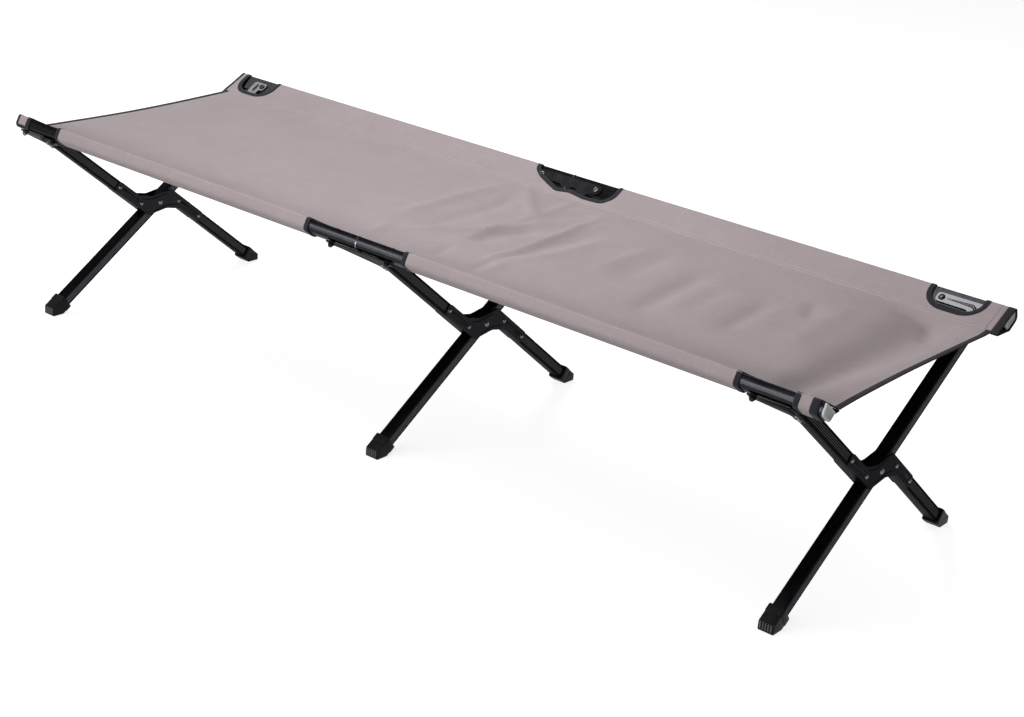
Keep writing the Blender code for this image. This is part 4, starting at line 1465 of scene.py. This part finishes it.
# Radii of the parts under the lower plate go with depths below it
screw = {
    "shaft": 0.0029,
    "headSize": (0.0062, 0.0030),
    "head": [(1, 0), (1, 0.16), (0.95, 0.34), (0.84, 0.62), (0.66, 0.84), (0.44, 0.95),
             (0.40, 0.95), (0.36, 0.55), (0, 0.50)],
    "stub": -0.012,             # where a headless screw ends
    "tip": [(0, 0.0070), (0.00232, 0.0070), (0.0029, 0.0062)],
    "washer": [(0, -0.0001), (0.0062, -0.0001), (0.0062, 0.0008), (0, 0.0008)],
    "nut": [(0.0046, 0.0008), (0.0050, 0.0012), (0.0050, 0.0034), (0.0044, 0.0040)],
    "nutTurn": 0.2,
    "collar": [(0, 0.0036), (0.0042, 0.0040), (0.0042, 0.0052), (0.0035, 0.0058), (0, 0.0058)],
}
rivet = {"size": (0.0042, 0.0027), "pivotSize": (0.0058, 0.0032), "along": (0.045, 0.120)}
bracketSides = (("outer", 1), ("inner", -1))


def plateFace(side, level):
    # Places on a gusset's outer face, as (x, down the leg, height)
    out = plate["seat"] + plate["thick"]
    if level == "upper":
        return lambda x, down, height: onSide(side, x, down, out + height)
    return lambda x, down, height: onSide(side, x, down, -cot["legDepth"] - out - height)


def bracketFace(x, way):
    # Places on a Z bracket's outer face, as (along the leg, across it, height)
    out = cot["legWidth"] / 2 + plate["seat"] + plate["thick"]
    return lambda u, v, height: onCross(front, x + way * (out + height), u, v)


def addRivetHeads(shape, place, spots, size):
    # Domed heads with a thin flange
    r, h = size
    profile = [(0, -0.0006), (r, -0.0006), (r, h * 0.12), (r * 0.96, h * 0.22),
               (r * 0.88, h * 0.46), (r * 0.72, h * 0.72), (r * 0.50, h * 0.89),
               (r * 0.25, h * 0.98), (0, h)]
    for u, v in spots:
        shape.turned(profile, lambda a, b, c, u=u, v=v: place(u + a, v + b, c), 20)


def addScrew(name, side, x, look, headless=False):
    # Domed head on top, hexagon nut with a nylon collar underneath
    shape = Shape()
    top = plate["seat"] * 2 + plate["thick"]

    def place(u, v, w):
        return onSide(side, x + u, rail["boltDrop"] + v, w)

    def under(profile):
        return [(radius, -cot["legDepth"] - top - depth) for radius, depth in profile]

    if headless:
        shape.turned(under(screw["tip"]) + [(screw["shaft"], screw["stub"]), (0, screw["stub"])],
                     place)
    else:
        r, h = screw["headSize"]
        shape.turned(under(screw["tip"]) + [(screw["shaft"], top)]
                     + [(r * a, top + h * b) for a, b in screw["head"]], place, 32)
    shape.turned(under(screw["washer"]), place)
    nut = shape.loft([[place(u, v, level) for u, v in
                       circleLoop(radius / math.cos(math.pi / 6), 6, screw["nutTurn"])]
                      for radius, level in under(screw["nut"])])
    shape.cap(nut[0])
    shape.cap(nut[-1])
    shape.turned(under(screw["collar"]), place, 24)
    piece = shape.settle("screw_" + name, 32, look, side["body"])
    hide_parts(name)


def addRivets():
    for side in sides:
        spots = [(x, down) for x in cot["legs"].values() for down in plate["rivets"]]
        for level in ("upper", "lower"):
            shape = Shape()
            addRivetHeads(shape, plateFace(side, level), spots, rivet["size"])
            shape.settle("gusset_rivets_%s_%s" % (side["name"], level), 40, rivetSteel,
                         side["body"])
    for place, x in cot["legs"].items():
        for face, way in bracketSides:
            shape = Shape()
            spots = [(turn * u, turn * cot["bracketOffset"]) for turn in (1, -1)
                     for u in rivet["along"]]
            addRivetHeads(shape, bracketFace(x, way), spots, rivet["size"])
            addRivetHeads(shape, bracketFace(x, way), [(0, 0)], rivet["pivotSize"])
            shape.settle("z_rivets_%s_%s" % (place, face), 40, rivetSteel, front["body"])


def addPlateBeads():
    # Along each plate's arm and down its leg, and on the Z brackets' web and arms
    for side in sides:
        for end in ("left", "right"):
            legX, reach = cot["legs"][end], plate["arms"][side["name"]][end]
            way = 1 if reach > 0 else -1
            line = legX + way * bead["legLine"]
            if abs(reach) > bead["longArm"]:
                path = roundedLoop([(legX + reach - way * bead["armEnd"], bead["armLine"], 0),
                                    (line, bead["armLine"], bead["bend"]),
                                    (line, bead["legEnd"], 0)], 6)
            else:
                path = densified([(legX + u, down) for u, down in bead["short"]], 0.006)
            for level in ("upper", "lower"):
                shape = Shape()
                shape.rib(path, *bead["size"], plateFace(side, level))
                # the rear upper beads take the lighter plate copy: painted highlight
                lit = side is rear and level == "upper"
                shape.settle("bead_%s_%s_%s" % (side["name"], end, level), 50,
                             paintedLitPlate if lit else plateBlack, side["body"])
    a, b = rivet["along"][0] + bead["toRivet"], rivet["along"][1] - bead["toRivet"]
    arm = [(u, cot["bracketOffset"]) for u in (a, a + 0.0015, (a + b) / 2, b - 0.0015, b)]
    for place, x in cot["legs"].items():
        for face, way in bracketSides:
            shape = Shape()
            for turn in (1, -1):
                for path, size in ((bead["web"], bead["webSize"]), (arm, bead["bracketSize"])):
                    shape.rib([(turn * u, turn * v) for u, v in path], *size, bracketFace(x, way))
            shape.settle("z_beads_%s_%s" % (place, face), 50, plateBlack, front["body"])


# End caps with a rounded rim and two ribs across the recess, and the rings over the joint of the
# rail halves. Levels run in from the rail's end, each with how far the outline is grown there.
capShape = {
    "levels": [(0.0040, 0.0), (0.0012, 0.0), (0.0004, -0.0006), (0.0, -0.0016),
               (0.0, -0.0036), (0.0004, -0.0042), (0.0016, -0.0046)],
    "recess": 0.0016,
    "ribs": (-0.0045, 0.0045),
    "ribLine": (-0.0155, -0.0150, -0.0060, -0.0055),
    "ribSize": (0.0016, 0.0011),
}
railRing = [(-0.0016, -0.0002), (-0.0016, 0.0003), (-0.00112, 0.0011), (0.00112, 0.0011),
            (0.0016, 0.0003), (0.0016, -0.0002)]


def addCapsAndRings():
    half = cot["length"] / 2
    for side in sides:
        for end, way in ends:
            shape = Shape()
            rings = shape.loft([[onSide(side, way * (half - level), d, n)
                                 for d, n in railLoop(grow, 8)]
                                for level, grow in capShape["levels"]])
            shape.fill([rings[0]])
            shape.fill([rings[-1]])
            for down in capShape["ribs"]:
                shape.rib([(down, n) for n in capShape["ribLine"]], *capShape["ribSize"],
                          lambda d, n, h: onSide(side, way * (half - capShape["recess"] + h),
                                                 d, n))
            piece = shape.settle("cap_%s_%s" % (side["name"], end), 40, capPlastic, side["body"])
            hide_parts("rail_cap_%s_%s" % (side["name"], end))
        shape = Shape()
        shape.loft([[onSide(side, x, d, n) for d, n in railLoop(grow, 8)]
                    for x, grow in railRing], True)
        shape.settle("rail_ring_" + side["name"], 40, rivetSteel, side["body"])


def addScrews():
    for side in sides:
        for end, way in ends:
            x = cot["legs"][end] + plate["arms"][side["name"]][end]
            addScrew("gusset_bolt_%s_%s" % (side["name"], end), side, x, boltBlack)
            # the rear strap bolts take the lighter bolt copy: painted highlight
            addScrew("strap_bolt_%s_%s" % (side["name"], end), side, rail["strapBolt"] * way,
                     boltBlack if side is front else paintedLitBolt)
    addScrew("stay_bolt_front_left", front, rail["stayBolt"], screwSteel, True)


addCapsAndRings()
addScrews()
addRivets()
addPlateBeads()
print("plates, screws and caps on")

# The CAD's own plates and pivots stay, and get their finishes; the rear upper gussets get the
# lighter plate copy, a painted highlight
nodeLooks = [
    ("z_plate", plateBlack), ("gusset_rear_left_upper", paintedLitPlate),
    ("gusset_rear_right_upper", paintedLitPlate), ("gusset", plateBlack),
    ("hinge_strap_front", plateBlack), ("hinge_strap_rear", plateGrey), ("pivot", bareSteel),
]
for name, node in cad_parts.items():
    look = next((look for start, look in nodeLooks if name.startswith(start)), None)
    if look:
        for slot in node.material_slots:
            slot.material = look
print("frame finished")


# Floor, lights and backdrop
studio = {
    "floor": (0.45, 0.45, 0.45),
    "floorReach": 24.0,
    "floorLevel": -0.0004,
    "floorGlow": 0.80,
    "world": 0.31,
    "lamps": [
        # name, place, aim, size, watts
        ("key", (-2.3, 1.6, 2.5), (-0.1, 0.0, 0.3), (1.3, 1.1), 43),
        ("middle", (0.03, -0.30, 1.65), (0.00, -0.1, 0.4), (1.0, 0.7), 9.8),
        ("overhead", (-0.2, 0.38, 2.8), (0.0, 0.0, 0.3), (0.5, 0.5), 8),
        ("accent", (-3.0, 0.4, 2.6), (-0.9, 0.3, 0.4), (0.5, 0.5), 6),
        ("front", (-0.40, -3.3, 1.30), (0.45, 0.0, 0.35), (4.9, 0.5), 96),
    ],
}


def raysSeen(tree, kinds):
    # 1 for rays of these kinds, 0 for all others
    rays = tree.nodes.new("ShaderNodeLightPath")
    seen = rays.outputs[kinds[0]]
    for kind in kinds[1:]:
        seen = calc(tree, "MAXIMUM", seen, rays.outputs[kind])
    return seen


def addStudio():
    mesh = bpy.data.meshes.new("floor")
    reach = studio["floorReach"]
    mesh.from_pydata([(-reach, -reach, 0), (reach, -reach, 0), (reach, reach, 0),
                      (-reach, reach, 0)], [], [(0, 1, 2, 3)])
    floor = bpy.data.objects.new("floor", mesh)
    scene.collection.objects.link(floor)
    floor.location.z = studio["floorLevel"]
    look, tree, shader = startMaterial("pale floor", studio["floor"], 0.9, 0.0)
    shader.inputs["Specular IOR Level"].default_value = 0.0
    shader.inputs["Emission Color"].default_value = (1, 1, 1, 1)
    # the floor glows white only for what looks at it, and lights nothing
    seen = raysSeen(tree, ("Is Camera Ray", "Is Glossy Ray", "Is Transmission Ray"))
    tree.links.new(times(tree, seen, studio["floorGlow"]), shader.inputs["Emission Strength"])
    mesh.materials.append(look)
    world = bpy.data.worlds.new("studio")
    scene.world = world
    world.use_nodes = True
    tree = world.node_tree
    ground = tree.nodes["Background"]
    ground.inputs["Color"].default_value = (1, 1, 1, 1)
    seen = raysSeen(tree, ("Is Camera Ray", "Is Transmission Ray"))
    tree.links.new(spread(tree, seen, 0.0, 1.0, studio["world"], 1.0), ground.inputs["Strength"])
    for name, place, aim, size, power in studio["lamps"]:
        data = bpy.data.lights.new(name, "AREA")
        data.shape = "RECTANGLE"
        data.size, data.size_y = size
        data.energy = power
        lamp = bpy.data.objects.new(name, data)
        scene.collection.objects.link(lamp)
        lamp.location = place
        lamp.rotation_euler = (Vector(aim) - Vector(place)).to_track_quat("-Z", "Y").to_euler()


addStudio()
print("studio lit")

bpy.context.view_layer.update()
